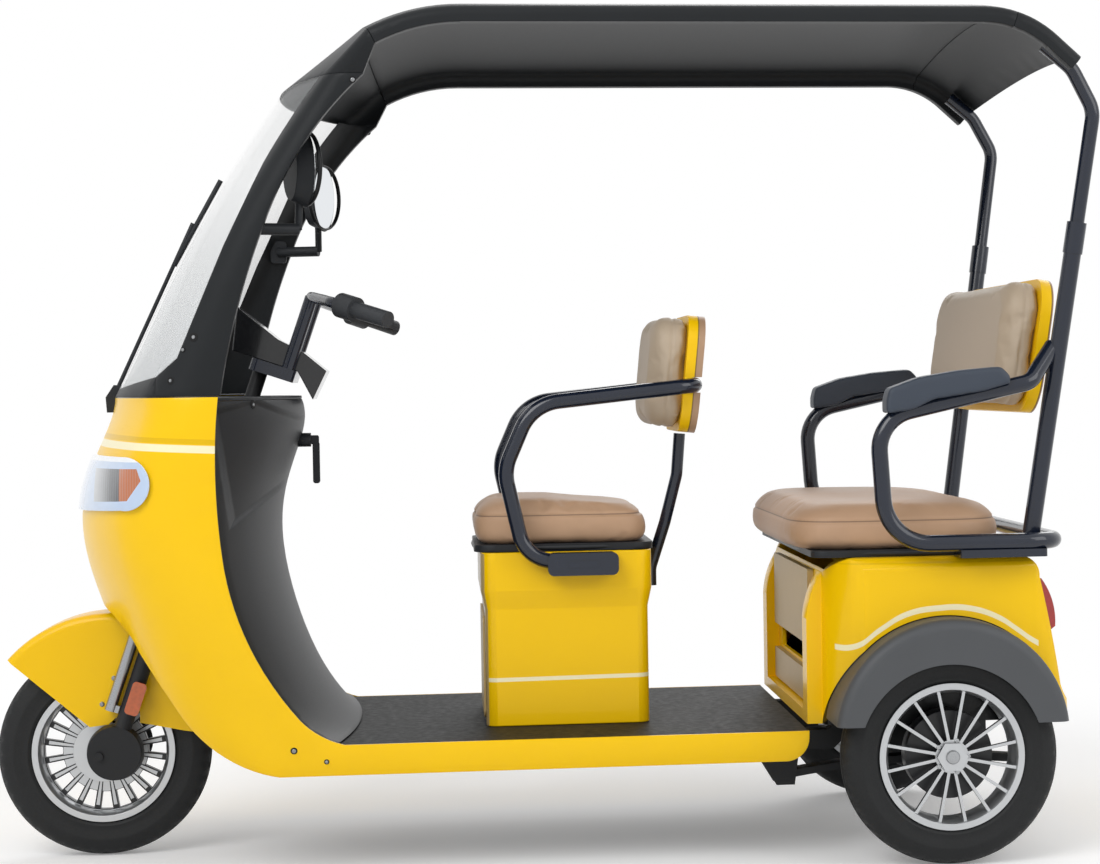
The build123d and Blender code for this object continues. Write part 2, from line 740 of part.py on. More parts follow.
def rear_station(angle):
    turn = radians(angle)
    x = ROOF_REAR_X - ROOF_REAR_RADIUS * sin(turn)
    z = ROOF_EDGE_Z - ROOF_REAR_RADIUS * (1 - cos(turn))
    return roof_point(x, z, -angle)


roof_corner = bow_points(ROOF_CROWN, ROOF_HALF_WIDTH, ROOF_ARC_RADIUS, ROOF_CORNER_RADIUS)[0]
ROOF_RAIL_BOTTOM = roof_corner[0] - ROOF_RAIL_SIDE


def roof_band(plane):
    return bow_band(
        plane,
        ROOF_CROWN,
        ROOF_HALF_WIDTH,
        ROOF_ARC_RADIUS,
        ROOF_CORNER_RADIUS,
        ROOF_RAIL_BOTTOM,
        ROOF_SKIN,
        ROOF_RAIL_WIDTH,
    ).sketch


with BuildPart() as front_header:
    level, nose, half_width, front_radius, corner_radius = CANOPY_SECTIONS[-1]
    add(bow_band(
        Plane.XY.offset(level + SEAT_GAP),
        nose,
        half_width,
        front_radius,
        corner_radius,
        PILLAR_TOP_REAR_X,
        ROOF_SKIN,
        PILLAR_WALL,
    ).sketch)
    add(roof_band(front_station(HEADER_ANGLE)))
    loft()

with BuildPart() as roof_panel:
    start = front_station(HEADER_ANGLE - 0.1)
    front_middle = front_station(HEADER_ANGLE / 2)
    rear_middle = rear_station(ROOF_JOINT_ANGLE / 2)
    rear_end = rear_station(ROOF_JOINT_ANGLE)
    with BuildLine() as roof_line:
        flat_front = (ROOF_FRONT_X, 0, ROOF_EDGE_Z)
        flat_rear = (ROOF_REAR_X, 0, ROOF_EDGE_Z)
        ThreePointArc(start.origin, front_middle.origin, flat_front)
        Line(flat_front, flat_rear)
        ThreePointArc(flat_rear, rear_middle.origin, rear_end.origin)
    add(roof_band(start))
    sweep(path=roof_line.line)

with BuildPart() as rear_visor:
    start = rear_station(ROOF_JOINT_ANGLE + 0.1)
    middle = rear_station((ROOF_JOINT_ANGLE + ROOF_REAR_ANGLE) / 2)
    bend_end = rear_station(ROOF_REAR_ANGLE)
    tail_end = bend_end.from_local_coords((0, 0, ROOF_TAIL))
    with BuildLine() as visor_line:
        ThreePointArc(start.origin, middle.origin, bend_end.origin)
        Line(bend_end.origin, tail_end)
    add(roof_band(start))
    sweep(path=visor_line.line)

# Rear canopy posts and armrest tubes, welded into one frame that stands on the rear body
POST_Y = ROOF_HALF_WIDTH - ROOF_RAIL_WIDTH - 44
POST_FOOT = (REAR_AXLE_X - 167, 372, BODY_TOP + SEAT_GAP)
POST_BEND = (REAR_AXLE_X - 291, POST_Y - 4, 1432)
POST_NECK = (REAR_AXLE_X - 249, POST_Y, 1511)
POST_END = (REAR_AXLE_X - 195, POST_Y, 1556)
POST_JOINT_SHARE = 0.68
SLEEVE_SHARE = 0.07
SLEEVE_RADIUS = 19
ARM_Y = 445
ARM_TOP_REAR = (REAR_AXLE_X - 157, ARM_Y, 918)
ARM_TOP_FRONT = (REAR_AXLE_X + 138, ARM_Y, 853)
ARM_LOW_FRONT = (REAR_AXLE_X + 123, ARM_Y, 616)
ARM_LOW_REAR = (REAR_AXLE_X - 211, ARM_Y, 616)
ARM_START = (REAR_AXLE_X - 215, 388, 985)
BACK_BAR_LEVEL = 978
BACK_BAR_RADIUS = 12
BACK_BAR_X = REAR_AXLE_X - 230
BRACKET_X = REAR_AXLE_X - 101
BRACKET_Y = 420
BRACKET_LENGTH = 168
BRACKET_WIDTH = 74
BRACKET_HEIGHT = 15


def tube(points, radii, radius):
    """Round tube along straight runs joined by arcs."""
    with BuildPart() as run:
        with BuildLine() as path:
            FilletPolyline(*points, radius=radii)
        with BuildSketch(Plane(origin=path.line @ 0, z_dir=path.line % 0)):
            Circle(radius)
        sweep(path=path.line)
    return run.part


def at_side(point, side):
    return (point[0], side * point[1], point[2])


def straight_tube(start, end, radius):
    """Round bar between two points."""
    along = Vector(*end) - Vector(*start)
    with BuildPart() as run:
        with BuildSketch(Plane(origin=start, z_dir=along)):
            Circle(radius)
        extrude(amount=along.length)
    return run.part


def point_between(start, end, share):
    return tuple(a + (b - a) * share for a, b in zip(start, end))


arm_half = (ARM_START, ARM_TOP_REAR, ARM_TOP_FRONT, ARM_LOW_FRONT, ARM_LOW_REAR)
arm_points = [at_side(point, 1) for point in arm_half] + [at_side(point, -1) for point in reversed(arm_half)]
arm_radii = [32, 75, 90, 60, 60, 90, 75, 32]

with BuildPart() as canopy_frame:
    add(tube(arm_points, arm_radii, ARM_TUBE_RADIUS))
    for side in (1, -1):
        foot = at_side(POST_FOOT, side)
        bend = at_side(POST_BEND, side)
        joint = point_between(foot, bend, POST_JOINT_SHARE)
        sleeve_end = point_between(foot, bend, POST_JOINT_SHARE + SLEEVE_SHARE)
        add(straight_tube(foot, joint, LOWER_POST_RADIUS))
        add(straight_tube(joint, sleeve_end, SLEEVE_RADIUS))
        upper = (point_between(foot, bend, POST_JOINT_SHARE), bend, at_side(POST_NECK, side), at_side(POST_END, side))
        add(tube(upper, [60, 60], POST_RADIUS))
        with BuildSketch(Plane.XY.offset(BODY_TOP + SEAT_GAP)):
            with Locations((BRACKET_X, side * BRACKET_Y)):
                RectangleRounded(BRACKET_LENGTH, BRACKET_WIDTH, 8)
            with Locations((POST_FOOT[0], side * (POST_FOOT[1] + 4))):
                RectangleRounded(2 * LOWER_POST_RADIUS, 2 * LOWER_POST_RADIUS + 12, 4)
        extrude(amount=BRACKET_HEIGHT)
    bar_end = (BACK_BAR_X, 395, BACK_BAR_LEVEL)
    add(straight_tube(at_side(bar_end, -1), bar_end, BACK_BAR_RADIUS))

# Side outline of an arm pad, x from the rear axle: chunky nose, two shallow notches under it
PAD_OUTLINE = (
    (124, 845),
    (111, 891),
    (79, 919),
    (-2, 942),
    (-79, 955),
    (-107, 940),
    (-113, 905),
    (-86, 897),
    (-80, 889),
    (-41, 890),
    (8, 881),
    (14, 871),
    (59, 864),
)
PAD_HALF_WIDTH = 29

with BuildPart() as arm_pads:
    for side in (1, -1):
        with BuildSketch(rear_side_plane(side * ARM_Y)) as pad_outline:
            with BuildLine():
                Polyline(*PAD_OUTLINE, close=True)
            make_face()
        extrude(amount=PAD_HALF_WIDTH, both=True)
    add(tube(arm_points, arm_radii, ARM_TUBE_RADIUS + SEAT_GAP), mode=Mode.SUBTRACT)

# Rear body: hollow housing over the rear wheels with a bin under the bench. The front
# face is a recess between two jambs, the rear end carries the lamps and a bumper lip.
FRAME_RAIL_Y = 220
FRAME_RAIL_WIDTH = 30
FRAME_RAIL_HEIGHT = 38
FLOOR_THICKNESS = 8
FLOOR_TOP = DECK_TOP - MAT_THICKNESS
RAIL_LEVEL = FLOOR_TOP - FLOOR_THICKNESS - SEAT_GAP - FRAME_RAIL_HEIGHT / 2
REAR_RAIL_LEVEL = 300
BODY_HALF_WIDTH = 410
BODY_FRONT_HALF_WIDTH = 312
BODY_FRONT_X = REAR_AXLE_X + 258
BODY_BOTTOM = 262
BODY_SHOULDER_X = REAR_AXLE_X + 161
BODY_EDGE_RADIUS = 26
BIN_FLOOR_LEVEL = REAR_RAIL_LEVEL + FRAME_RAIL_HEIGHT / 2 + SEAT_GAP
BIN_FRONT_X = REAR_AXLE_X + 223
BIN_REAR_X = REAR_AXLE_X - 154
BIN_HALF_WIDTH = 318
RECESS_X = BIN_FRONT_X + BODY_WALL
RECESS_HALF_WIDTH = 258
RECESS_LOW = 285
RECESS_HIGH = 562
BENCH_OPENING_FRONT = REAR_AXLE_X + 171
BENCH_OPENING_REAR = REAR_AXLE_X - 124
BENCH_OPENING_HALF = 280
FLARE_X = REAR_AXLE_X + 3
FLARE_Z = 250
FLARE_RADIUS = 224
FLARE_WALL = 6
FLARE_CUT_LEVEL = FLARE_Z + 26
WELL_INNER_Y = 336
UNDER_REAR_X = REAR_AXLE_X - 214
FRONT_VIEW_REACH = 300


def body_outline():
    """Side outline of the rear body, x from the rear axle."""
    front = BODY_FRONT_X - REAR_AXLE_X
    with BuildSketch(rear_side_plane(0)) as outline:
        with BuildLine():
            Line((front, BODY_BOTTOM), (front, 440))
            ThreePointArc((front, 440), (251, 505), (226, 558))
            ThreePointArc((226, 558), (203, 578), (167, BODY_TOP))
            Line((167, BODY_TOP), (-144, BODY_TOP))
            ThreePointArc((-144, BODY_TOP), (-169, 575), (-180, 545))
            ThreePointArc((-180, 545), (-204, 440), (-225, 335))
            ThreePointArc((-225, 335), (-233, 318), (-245, 303))
            Line((-245, 303), (-249, 278))
            Line((-249, 278), (-227, BODY_BOTTOM))
            Line((-227, BODY_BOTTOM), (front, BODY_BOTTOM))
        make_face()
    return outline.sketch


def body_plan():
    """Plan outline of the rear body: narrow front frame, full width over the wheels."""
    with BuildSketch(Plane.XY) as outline:
        with BuildLine():
            front = (BODY_FRONT_X, BODY_FRONT_HALF_WIDTH)
            jamb = (BODY_FRONT_X - 30, BODY_FRONT_HALF_WIDTH)
            shoulder = (BODY_SHOULDER_X, BODY_HALF_WIDTH)
            rear = (REAR_AXLE_X - 169, BODY_HALF_WIDTH)
            corner = (REAR_AXLE_X - 229, BODY_HALF_WIDTH - 32)
            tail = (REAR_AXLE_X - 251, BODY_HALF_WIDTH - 100)
            waist = (REAR_AXLE_X + 189, BODY_HALF_WIDTH - 22)
            Polyline(flipped(jamb), flipped(front), front, jamb)
            ThreePointArc(jamb, waist, shoulder)
            Line(shoulder, rear)
            ThreePointArc(rear, corner, tail)
            Line(tail, flipped(tail))
            ThreePointArc(flipped(tail), flipped(corner), flipped(rear))
            Line(flipped(rear), flipped(shoulder))
            ThreePointArc(flipped(shoulder), flipped(waist), flipped(jamb))
        make_face()
    return outline.sketch


def body_front_view():
    """Outline of the rear body from the front: a box with its two top edges rounded."""
    with BuildSketch(Plane(origin=(REAR_AXLE_X, 0, 0), x_dir=(0, 1, 0), z_dir=(1, 0, 0))) as outline:
        with Locations((0, BODY_TOP / 2)):
            RectangleRounded(2 * BODY_HALF_WIDTH, BODY_TOP, BODY_EDGE_RADIUS)
    return outline.sketch


def block(x_low, x_high, half_width, z_low, z_high):
    """Box symmetric about the middle plane, given by its limits."""
    with BuildPart() as box:
        with BuildSketch(Plane.XY.offset(z_low)):
            with Locations(((x_low + x_high) / 2, 0)):
                Rectangle(x_high - x_low, 2 * half_width)
        extrude(amount=z_high - z_low)
    return box.part


def arch_cylinder(radius, y_low, y_high, side):
    """Cylinder about the wheel arch's centre line between two distances from the middle."""
    with BuildPart() as cylinder:
        with BuildSketch(Plane(origin=(FLARE_X, side * y_low, FLARE_Z), x_dir=(1, 0, 0), z_dir=(0, side, 0))):
            Circle(radius)
        extrude(amount=y_high - y_low)
    return cylinder.part


with BuildPart() as rear_body:
    extrude(body_outline(), amount=BODY_HALF_WIDTH, both=True)
    extrude(body_plan(), amount=BODY_TOP, mode=Mode.INTERSECT)
    extrude(body_front_view(), amount=FRONT_VIEW_REACH, both=True, mode=Mode.INTERSECT)
    bin_low = BIN_FLOOR_LEVEL + BODY_WALL
    add(block(BIN_REAR_X, BIN_FRONT_X, BIN_HALF_WIDTH, bin_low, BODY_TOP - BODY_WALL), mode=Mode.SUBTRACT)
    add(block(UNDER_REAR_X, BIN_FRONT_X, BIN_HALF_WIDTH, BODY_BOTTOM - 1, BIN_FLOOR_LEVEL), mode=Mode.SUBTRACT)
    bench_opening = block(
        BENCH_OPENING_REAR, BENCH_OPENING_FRONT, BENCH_OPENING_HALF, BODY_TOP - 2 * BODY_WALL, BODY_TOP + 1
    )
    add(bench_opening, mode=Mode.SUBTRACT)
    add(block(RECESS_X, BODY_FRONT_X + 1, RECESS_HALF_WIDTH, RECESS_LOW, RECESS_HIGH), mode=Mode.SUBTRACT)
    add(block(BIN_FRONT_X - 1, RECESS_X + 1, 205, 360, 400), mode=Mode.SUBTRACT)
    for side in (1, -1):
        well = arch_cylinder(FLARE_RADIUS + SEAT_GAP, WELL_INNER_Y, BODY_HALF_WIDTH + 1, side)
        add(well, mode=Mode.SUBTRACT)

PANEL_THICKNESS = 12
PANEL_HALF_WIDTH = 236
UPPER_PANEL = (406, 556)
LOWER_PANEL = (290, 354)

with BuildPart() as bench_front_panels:
    for low, high in (UPPER_PANEL, LOWER_PANEL):
        with BuildSketch(Plane(origin=(RECESS_X + SEAT_GAP, 0, (low + high) / 2), x_dir=(0, 1, 0), z_dir=(1, 0, 0))):
            RectangleRounded(2 * PANEL_HALF_WIDTH, high - low, 6)
        extrude(amount=PANEL_THICKNESS)

# Dark flares round the rear wheel openings, nested in the body's arches
FLARE_OUTER_Y = 482
LIP_RADIUS = 178
LIP_X = REAR_AXLE_X + 9
LIP_Z = 212

with BuildPart() as fender_flares:
    for side in (1, -1):
        plane = Plane(origin=(FLARE_X, 0, FLARE_Z), x_dir=(0, side, 0), z_dir=(side, 0, 0))
        with BuildSketch(plane) as flare_profile:
            with BuildLine():
                top = FLARE_RADIUS
                Line((WELL_INNER_Y + 1, top), (FLARE_OUTER_Y - 22, top))
                ThreePointArc(
                    (FLARE_OUTER_Y - 22, top), (FLARE_OUTER_Y - 6, top - 6), (FLARE_OUTER_Y, top - 20)
                )
                Line((FLARE_OUTER_Y, top - 20), (FLARE_OUTER_Y, 120))
                Line((FLARE_OUTER_Y, 120), (FLARE_OUTER_Y - FLARE_WALL, 120))
                Line((FLARE_OUTER_Y - FLARE_WALL, 120), (FLARE_OUTER_Y - FLARE_WALL, top - 20))
                ThreePointArc(
                    (FLARE_OUTER_Y - FLARE_WALL, top - 20),
                    (FLARE_OUTER_Y - 11, top - 11),
                    (FLARE_OUTER_Y - 22, top - FLARE_WALL),
                )
                Line((FLARE_OUTER_Y - 22, top - FLARE_WALL), (WELL_INNER_Y + 1, top - FLARE_WALL))
                Line((WELL_INNER_Y + 1, top - FLARE_WALL), (WELL_INNER_Y + 1, top))
            make_face()
        revolve(axis=Axis((FLARE_X, 0, FLARE_Z), (0, 1, 0)))
        with BuildSketch(Plane(origin=(LIP_X, side * 450, LIP_Z), x_dir=(1, 0, 0), z_dir=(0, side, 0))):
            Circle(LIP_RADIUS)
        extrude(amount=60, mode=Mode.SUBTRACT)
    below = block(FLARE_X - CUT_REACH, FLARE_X + CUT_REACH, CUT_REACH, 0, FLARE_CUT_LEVEL)
    add(below, mode=Mode.SUBTRACT)

TAIL_LAMP_Y = 318
TAIL_LAMP_WIDTH = 84
TAIL_LAMP_LOW = 432
TAIL_LAMP_HIGH = 545
TAIL_LAMP_DEPTH = 16

with BuildPart() as tail_lamps:
    for side in (1, -1):
        with BuildSketch(rear_side_plane(side * TAIL_LAMP_Y)) as lamp_outline:
            with BuildLine():
                low = (-206 - SEAT_GAP, TAIL_LAMP_LOW)
                high = (-180 - SEAT_GAP, TAIL_LAMP_HIGH)
                ThreePointArc(high, (-194, 489), low)
                Line(low, (low[0] - TAIL_LAMP_DEPTH, TAIL_LAMP_LOW + 12))
                ThreePointArc(
                    (low[0] - TAIL_LAMP_DEPTH, TAIL_LAMP_LOW + 12),
                    (-216, 498),
                    (high[0] - TAIL_LAMP_DEPTH, TAIL_LAMP_HIGH - 8),
                )
                Line((high[0] - TAIL_LAMP_DEPTH, TAIL_LAMP_HIGH - 8), high)
            make_face()
        extrude(amount=TAIL_LAMP_WIDTH / 2, both=True)
    add(rear_body.part, mode=Mode.SUBTRACT)

# Deck: steel floor on the frame rails and a rubber mat over it
FLOOR_FRONT_X = 430
MAT_FRONT_X = 396

with BuildPart() as floor_plate:
    add(block(DECK_REAR_X + 1, FLOOR_FRONT_X, 450, FLOOR_TOP - FLOOR_THICKNESS, FLOOR_TOP))
    add(shell_form(SHELL_WALL + SEAT_GAP, DECK_REAR_X - 60), mode=Mode.INTERSECT)

with BuildPart() as floor_mat:
    add(block(DECK_REAR_X + 1, MAT_FRONT_X, 450, FLOOR_TOP + SEAT_GAP, DECK_TOP))
    add(shell_form(SHELL_WALL + SEAT_GAP, DECK_REAR_X - 60), mode=Mode.INTERSECT)

# Frame: two rails that kick up over the rear axle, cross members, down tube, head tube
# and the brackets that carry the leaf springs
RAIL_KICK_X = REAR_AXLE_X + 201
RAIL_TOP_X = REAR_AXLE_X + 116
RAIL_END_X = REAR_AXLE_X - 201
DOWN_TUBE_RADIUS = 22
HEAD_TUBE_LOW = 356
HEAD_TUBE_HIGH = 690
SPRING_FRONT = (REAR_AXLE_X + 293, 152)
SPRING_MIDDLE = (REAR_AXLE_X, 178)
SPRING_REAR = (REAR_AXLE_X - 195, 168)
SPRING_THICKNESS = 14
CROSS_MEMBERS = (
    (FLOOR_FRONT_X - 30, RAIL_LEVEL),
    (0, RAIL_LEVEL),
    (REAR_AXLE_X + 371, RAIL_LEVEL),
    (REAR_AXLE_X - 169, REAR_RAIL_LEVEL),
)
SPRING_WIDTH = 44
SPRING_EYE_RADIUS = 15
BRACKET_WALL = 5

with BuildPart() as frame_rails:
    for side in (1, -1):
        rail_y = side * FRAME_RAIL_Y
        with BuildSketch(side_plane(rail_y)):
            with BuildLine():
                half = FRAME_RAIL_HEIGHT / 2
                Polyline(
                    (FLOOR_FRONT_X - 10, RAIL_LEVEL - half),
                    (FLOOR_FRONT_X - 10, RAIL_LEVEL + half),
                    (RAIL_KICK_X + 6, RAIL_LEVEL + half),
                    (RAIL_TOP_X + 6, REAR_RAIL_LEVEL + half),
                    (RAIL_END_X, REAR_RAIL_LEVEL + half),
                    (RAIL_END_X, REAR_RAIL_LEVEL - half),
                    (RAIL_TOP_X - 6, REAR_RAIL_LEVEL - half),
                    (RAIL_KICK_X - 6, RAIL_LEVEL - half),
                    close=True,
                )
            make_face()
        extrude(amount=FRAME_RAIL_WIDTH / 2, both=True)
        for wall_side in (1, -1):
            wall_y = rail_y + wall_side * (SPRING_WIDTH / 2 + SEAT_GAP + BRACKET_WALL / 2)
            with BuildSketch(side_plane(wall_y)):
                with BuildLine():
                    Polyline(
                        (SPRING_FRONT[0] - 30, RAIL_LEVEL),
                        (SPRING_FRONT[0] - 18, SPRING_FRONT[1] - 18),
                        (SPRING_FRONT[0] + 18, SPRING_FRONT[1] - 18),
                        (SPRING_FRONT[0] + 70, RAIL_LEVEL),
                        close=True,
                    )
                make_face()
                with BuildLine():
                    Polyline(
                        (SPRING_REAR[0] - 12, REAR_RAIL_LEVEL),
                        (SPRING_REAR[0] - 14, SPRING_REAR[1] - 14),
                        (SPRING_REAR[0] + 14, SPRING_REAR[1] - 14),
                        (SPRING_REAR[0] + 18, REAR_RAIL_LEVEL),
                        close=True,
                    )
                make_face()
            extrude(amount=BRACKET_WALL / 2, both=True)
        packer_half = SPRING_WIDTH / 2 + SEAT_GAP + BRACKET_WALL
        for x, z in ((SPRING_FRONT[0] + 20, RAIL_LEVEL), (SPRING_REAR[0] + 2, REAR_RAIL_LEVEL)):
            with BuildSketch(side_plane(rail_y)):
                with Locations((x, z)):
                    Rectangle(28, FRAME_RAIL_HEIGHT - 6)
            extrude(amount=packer_half, both=True)
    for x, z in CROSS_MEMBERS:
        with BuildSketch(side_plane(0)):
            with Locations((x, z)):
                Rectangle(30, FRAME_RAIL_HEIGHT - 4)
        extrude(amount=FRAME_RAIL_Y, both=True)
    down_tube = (
        (404, 0, RAIL_LEVEL),
        (472, 0, RAIL_LEVEL),
        (512, 0, 430),
        tuple(steer_plane((HEAD_TUBE_LOW + HEAD_TUBE_HIGH) / 2 - 70).origin),
    )
    add(tube(down_tube, [50, 90], DOWN_TUBE_RADIUS - 4))
    with BuildSketch(steer_plane(HEAD_TUBE_LOW)):
        Circle(HEAD_TUBE_RADIUS)
    extrude(amount=HEAD_TUBE_HIGH - HEAD_TUBE_LOW)
    with BuildSketch(steer_plane(HEAD_TUBE_LOW)):
        Circle(STEERER_RADIUS + SEAT_GAP)
    extrude(amount=HEAD_TUBE_HIGH - HEAD_TUBE_LOW, mode=Mode.SUBTRACT)

with BuildPart() as leaf_springs:
    for side in (1, -1):
        with BuildSketch(side_plane(side * FRAME_RAIL_Y)):
            with BuildLine():
                half = SPRING_THICKNESS / 2
                low = ThreePointArc(
                    (SPRING_FRONT[0], SPRING_FRONT[1] - half),
                    (SPRING_MIDDLE[0], SPRING_MIDDLE[1] - half),
                    (SPRING_REAR[0], SPRING_REAR[1] - half),
                )
                Line(low @ 1, (SPRING_REAR[0], SPRING_REAR[1] + half))
                ThreePointArc(
                    (SPRING_REAR[0], SPRING_REAR[1] + half),
                    (SPRING_MIDDLE[0], SPRING_MIDDLE[1] + half),
                    (SPRING_FRONT[0], SPRING_FRONT[1] + half),
                )
                Line((SPRING_FRONT[0], SPRING_FRONT[1] + half), low @ 0)
            make_face()
            with Locations(SPRING_FRONT, SPRING_REAR):
                Circle(SPRING_EYE_RADIUS)
        extrude(amount=SPRING_WIDTH / 2, both=True)

AXLE_TUBE_RADIUS = 22
AXLE_TUBE_END = 342
MOTOR_RADIUS = 78
MOTOR_HALF = 96
SADDLE_LENGTH = 64

with BuildPart() as rear_axle:
    axle_side = side_plane(0)
    with BuildSketch(axle_side):
        with Locations((REAR_AXLE_X, TYRE_RADIUS)):
            Circle(AXLE_TUBE_RADIUS)
    extrude(amount=AXLE_TUBE_END, both=True)
    with BuildSketch(axle_side):
        with Locations((REAR_AXLE_X, TYRE_RADIUS)):
            Circle(STUB_RADIUS)
    extrude(amount=REAR_WHEEL_Y + STUB_END - 1, both=True)
    with BuildSketch(axle_side):
        with Locations((REAR_AXLE_X, TYRE_RADIUS)):
            Circle(MOTOR_RADIUS)
    extrude(amount=MOTOR_HALF, both=True)
    fillet(rear_axle.edges().filter_by(GeomType.CIRCLE).filter_by(lambda e: e.radius == MOTOR_RADIUS), 14)
    spring_top = Edge.make_three_point_arc(SPRING_FRONT, SPRING_MIDDLE, SPRING_REAR).bounding_box().max.Y
    saddle_low = spring_top + SPRING_THICKNESS / 2 + SEAT_GAP
    for side in (1, -1):
        with BuildSketch(side_plane(side * FRAME_RAIL_Y)):
            with Locations((REAR_AXLE_X, (saddle_low + TYRE_RADIUS) / 2)):
                Rectangle(SADDLE_LENGTH, TYRE_RADIUS - saddle_low)
        extrude(amount=SPRING_WIDTH / 2, both=True)

rear_tyre_left = make_tyre(REAR_AXLE_X, REAR_WHEEL_Y)
rear_tyre_right = make_tyre(REAR_AXLE_X, -REAR_WHEEL_Y)
rear_rim_left = make_rear_rim(1)
rear_rim_right = make_rear_rim(-1)

# Seats. Each seat is a lid: a pan and a cushion that tip forward about a pin at the front.
REAR_PAN_LEVEL = BODY_TOP + SEAT_GAP
REAR_PAN_THICKNESS = 13
REAR_PAN_HALF = 374
REAR_HINGE_X = REAR_AXLE_X + 247
REAR_HINGE_Z = REAR_PAN_LEVEL + 5
REAR_SEAT_REAR_X = REAR_AXLE_X - 143
REAR_SEAT_FRONT_X = REAR_AXLE_X + 299
REAR_SEAT_TOP = 690
REAR_CUSHION_HALF = 378

with BuildPart() as rear_seat_pan:
    with BuildSketch(Plane.XY.offset(REAR_PAN_LEVEL)):
        with Locations(((REAR_SEAT_REAR_X + REAR_HINGE_X + 6) / 2, 0)):
            RectangleRounded(REAR_HINGE_X + 6 - REAR_SEAT_REAR_X, 2 * REAR_PAN_HALF, 30)
    extrude(amount=REAR_PAN_THICKNESS)


def cushion(front_x, rear_x, half_width, low, high, plan_radius, edge_radius):
    """Plain padded block with rounded plan corners and a soft top edge."""
    with BuildPart() as pad:
        with BuildSketch(Plane.XY.offset(low)):
            with Locations(((front_x + rear_x) / 2, 0)):
                RectangleRounded(front_x - rear_x, 2 * half_width, plan_radius)
        extrude(amount=high - low)
        fillet(pad.faces().sort_by(Axis.Z)[-1].edges(), edge_radius)
    return pad


rear_cushion = cushion(
    REAR_SEAT_FRONT_X,
    REAR_SEAT_REAR_X,
    REAR_CUSHION_HALF,
    REAR_PAN_LEVEL + REAR_PAN_THICKNESS + SEAT_GAP,
    REAR_SEAT_TOP,
    60,
    34,
)

# Driver's seat box: a hollow pedestal on the deck with a shoulder near its top
BOX_FRONT_X = 103
BOX_REAR_X = -219
BOX_HALF_WIDTH = 178
BOX_TOP = 598
BOX_SHOULDER_LOW = 486
BOX_SHOULDER_HIGH = 522
BOX_FLARE = 8
BOX_WALL = 6
BOX_CORNER = 22
BOX_FOOT = DECK_TOP + SEAT_GAP


def box_section(level, grow):
    with BuildSketch(Plane.XY.offset(level)) as section:
        with Locations(((BOX_FRONT_X + BOX_REAR_X) / 2, 0)):
            RectangleRounded(
                BOX_FRONT_X - BOX_REAR_X + 2 * grow, 2 * BOX_HALF_WIDTH + 2 * grow, BOX_CORNER + grow
            )
    return section.sketch


# Columns: level, growth outward
BOX_SECTIONS = (
    (BOX_FOOT, 0),
    (BOX_SHOULDER_LOW, 0),
    (BOX_SHOULDER_HIGH, BOX_FLARE),
    (BOX_TOP, BOX_FLARE),
)

with BuildPart() as seat_box:
    for level, grow in BOX_SECTIONS:
        add(box_section(level, grow))
    loft(ruled=True)
    with BuildPart(mode=Mode.PRIVATE) as box_space:
        for level, grow in BOX_SECTIONS:
            add(box_section(level, grow - BOX_WALL))
        loft(ruled=True)
    add(box_space.part, mode=Mode.SUBTRACT)

BOX_PANEL_THICKNESS = 4

with BuildPart() as seat_box_panel:
    level = (BOX_FOOT + BOX_SHOULDER_LOW) / 2
    with BuildSketch(Plane(origin=(BOX_FRONT_X + SEAT_GAP, 0, level), x_dir=(0, 1, 0), z_dir=(1, 0, 0))):
        RectangleRounded(2 * BOX_HALF_WIDTH - 60, BOX_SHOULDER_LOW - BOX_FOOT - 30, 14)
    extrude(amount=BOX_PANEL_THICKNESS)

BATTERY_LENGTH = 250
BATTERY_HALF_WIDTH = 130
BATTERY_HEIGHT = 210

with BuildPart() as battery_pack:
    middle_x = (BOX_FRONT_X + BOX_REAR_X) / 2
    half = BATTERY_LENGTH / 2
    add(block(middle_x - half, middle_x + half, BATTERY_HALF_WIDTH, BOX_FOOT, BOX_FOOT + BATTERY_HEIGHT))

DRIVER_PAN_LEVEL = BOX_TOP + SEAT_GAP
DRIVER_PAN_THICKNESS = 14
DRIVER_HINGE_X = 116
DRIVER_HINGE_Z = DRIVER_PAN_LEVEL + 5
DRIVER_SEAT_FRONT_X = 130
DRIVER_SEAT_REAR_X = -232
DRIVER_SEAT_TOP = 700
DRIVER_CUSHION_HALF = 174

with BuildPart() as driver_seat_pan:
    front_x = DRIVER_HINGE_X + 6
    with BuildSketch(Plane.XY.offset(DRIVER_PAN_LEVEL)):
        with Locations(((front_x + DRIVER_SEAT_REAR_X) / 2, 0)):
            RectangleRounded(front_x - DRIVER_SEAT_REAR_X, 2 * DRIVER_CUSHION_HALF, 40)
    extrude(amount=DRIVER_PAN_THICKNESS)

driver_cushion = cushion(
    DRIVER_SEAT_FRONT_X,
    DRIVER_SEAT_REAR_X,
    DRIVER_CUSHION_HALF,
    DRIVER_PAN_LEVEL + DRIVER_PAN_THICKNESS + SEAT_GAP,
    DRIVER_SEAT_TOP,
    60,
    30,
)

# Hoop round the driver's seat with its clamp brackets on the box, and the back post
HOOP_Y = 211
HOOP_TUBE_RADIUS = 15
HOOP_LOW_REAR = (-96, HOOP_Y, 581)
HOOP_LOW_FRONT = (22, HOOP_Y, 581)
HOOP_FRONT = (62, HOOP_Y, 760)
HOOP_TOP = (6, HOOP_Y, 888)
HOOP_REAR = (-318, HOOP_Y, 921)
CLAMP_CENTRE_X = -89
CLAMP_LENGTH = 138
CLAMP_CENTRE_Z = 575
CLAMP_HEIGHT = 44
CLAMP_RECESS = (64, 16, 2)
BACK_LEAN = 6
BACK_SHELL_X = -334
BACK_CENTRE_Z = 941
BACK_HALF_WIDTH = 165
BACK_HEIGHT = 234
BACK_SHELL_THICKNESS = 34
BACK_PAD_THICKNESS = 66
BACK_CORNER = 62

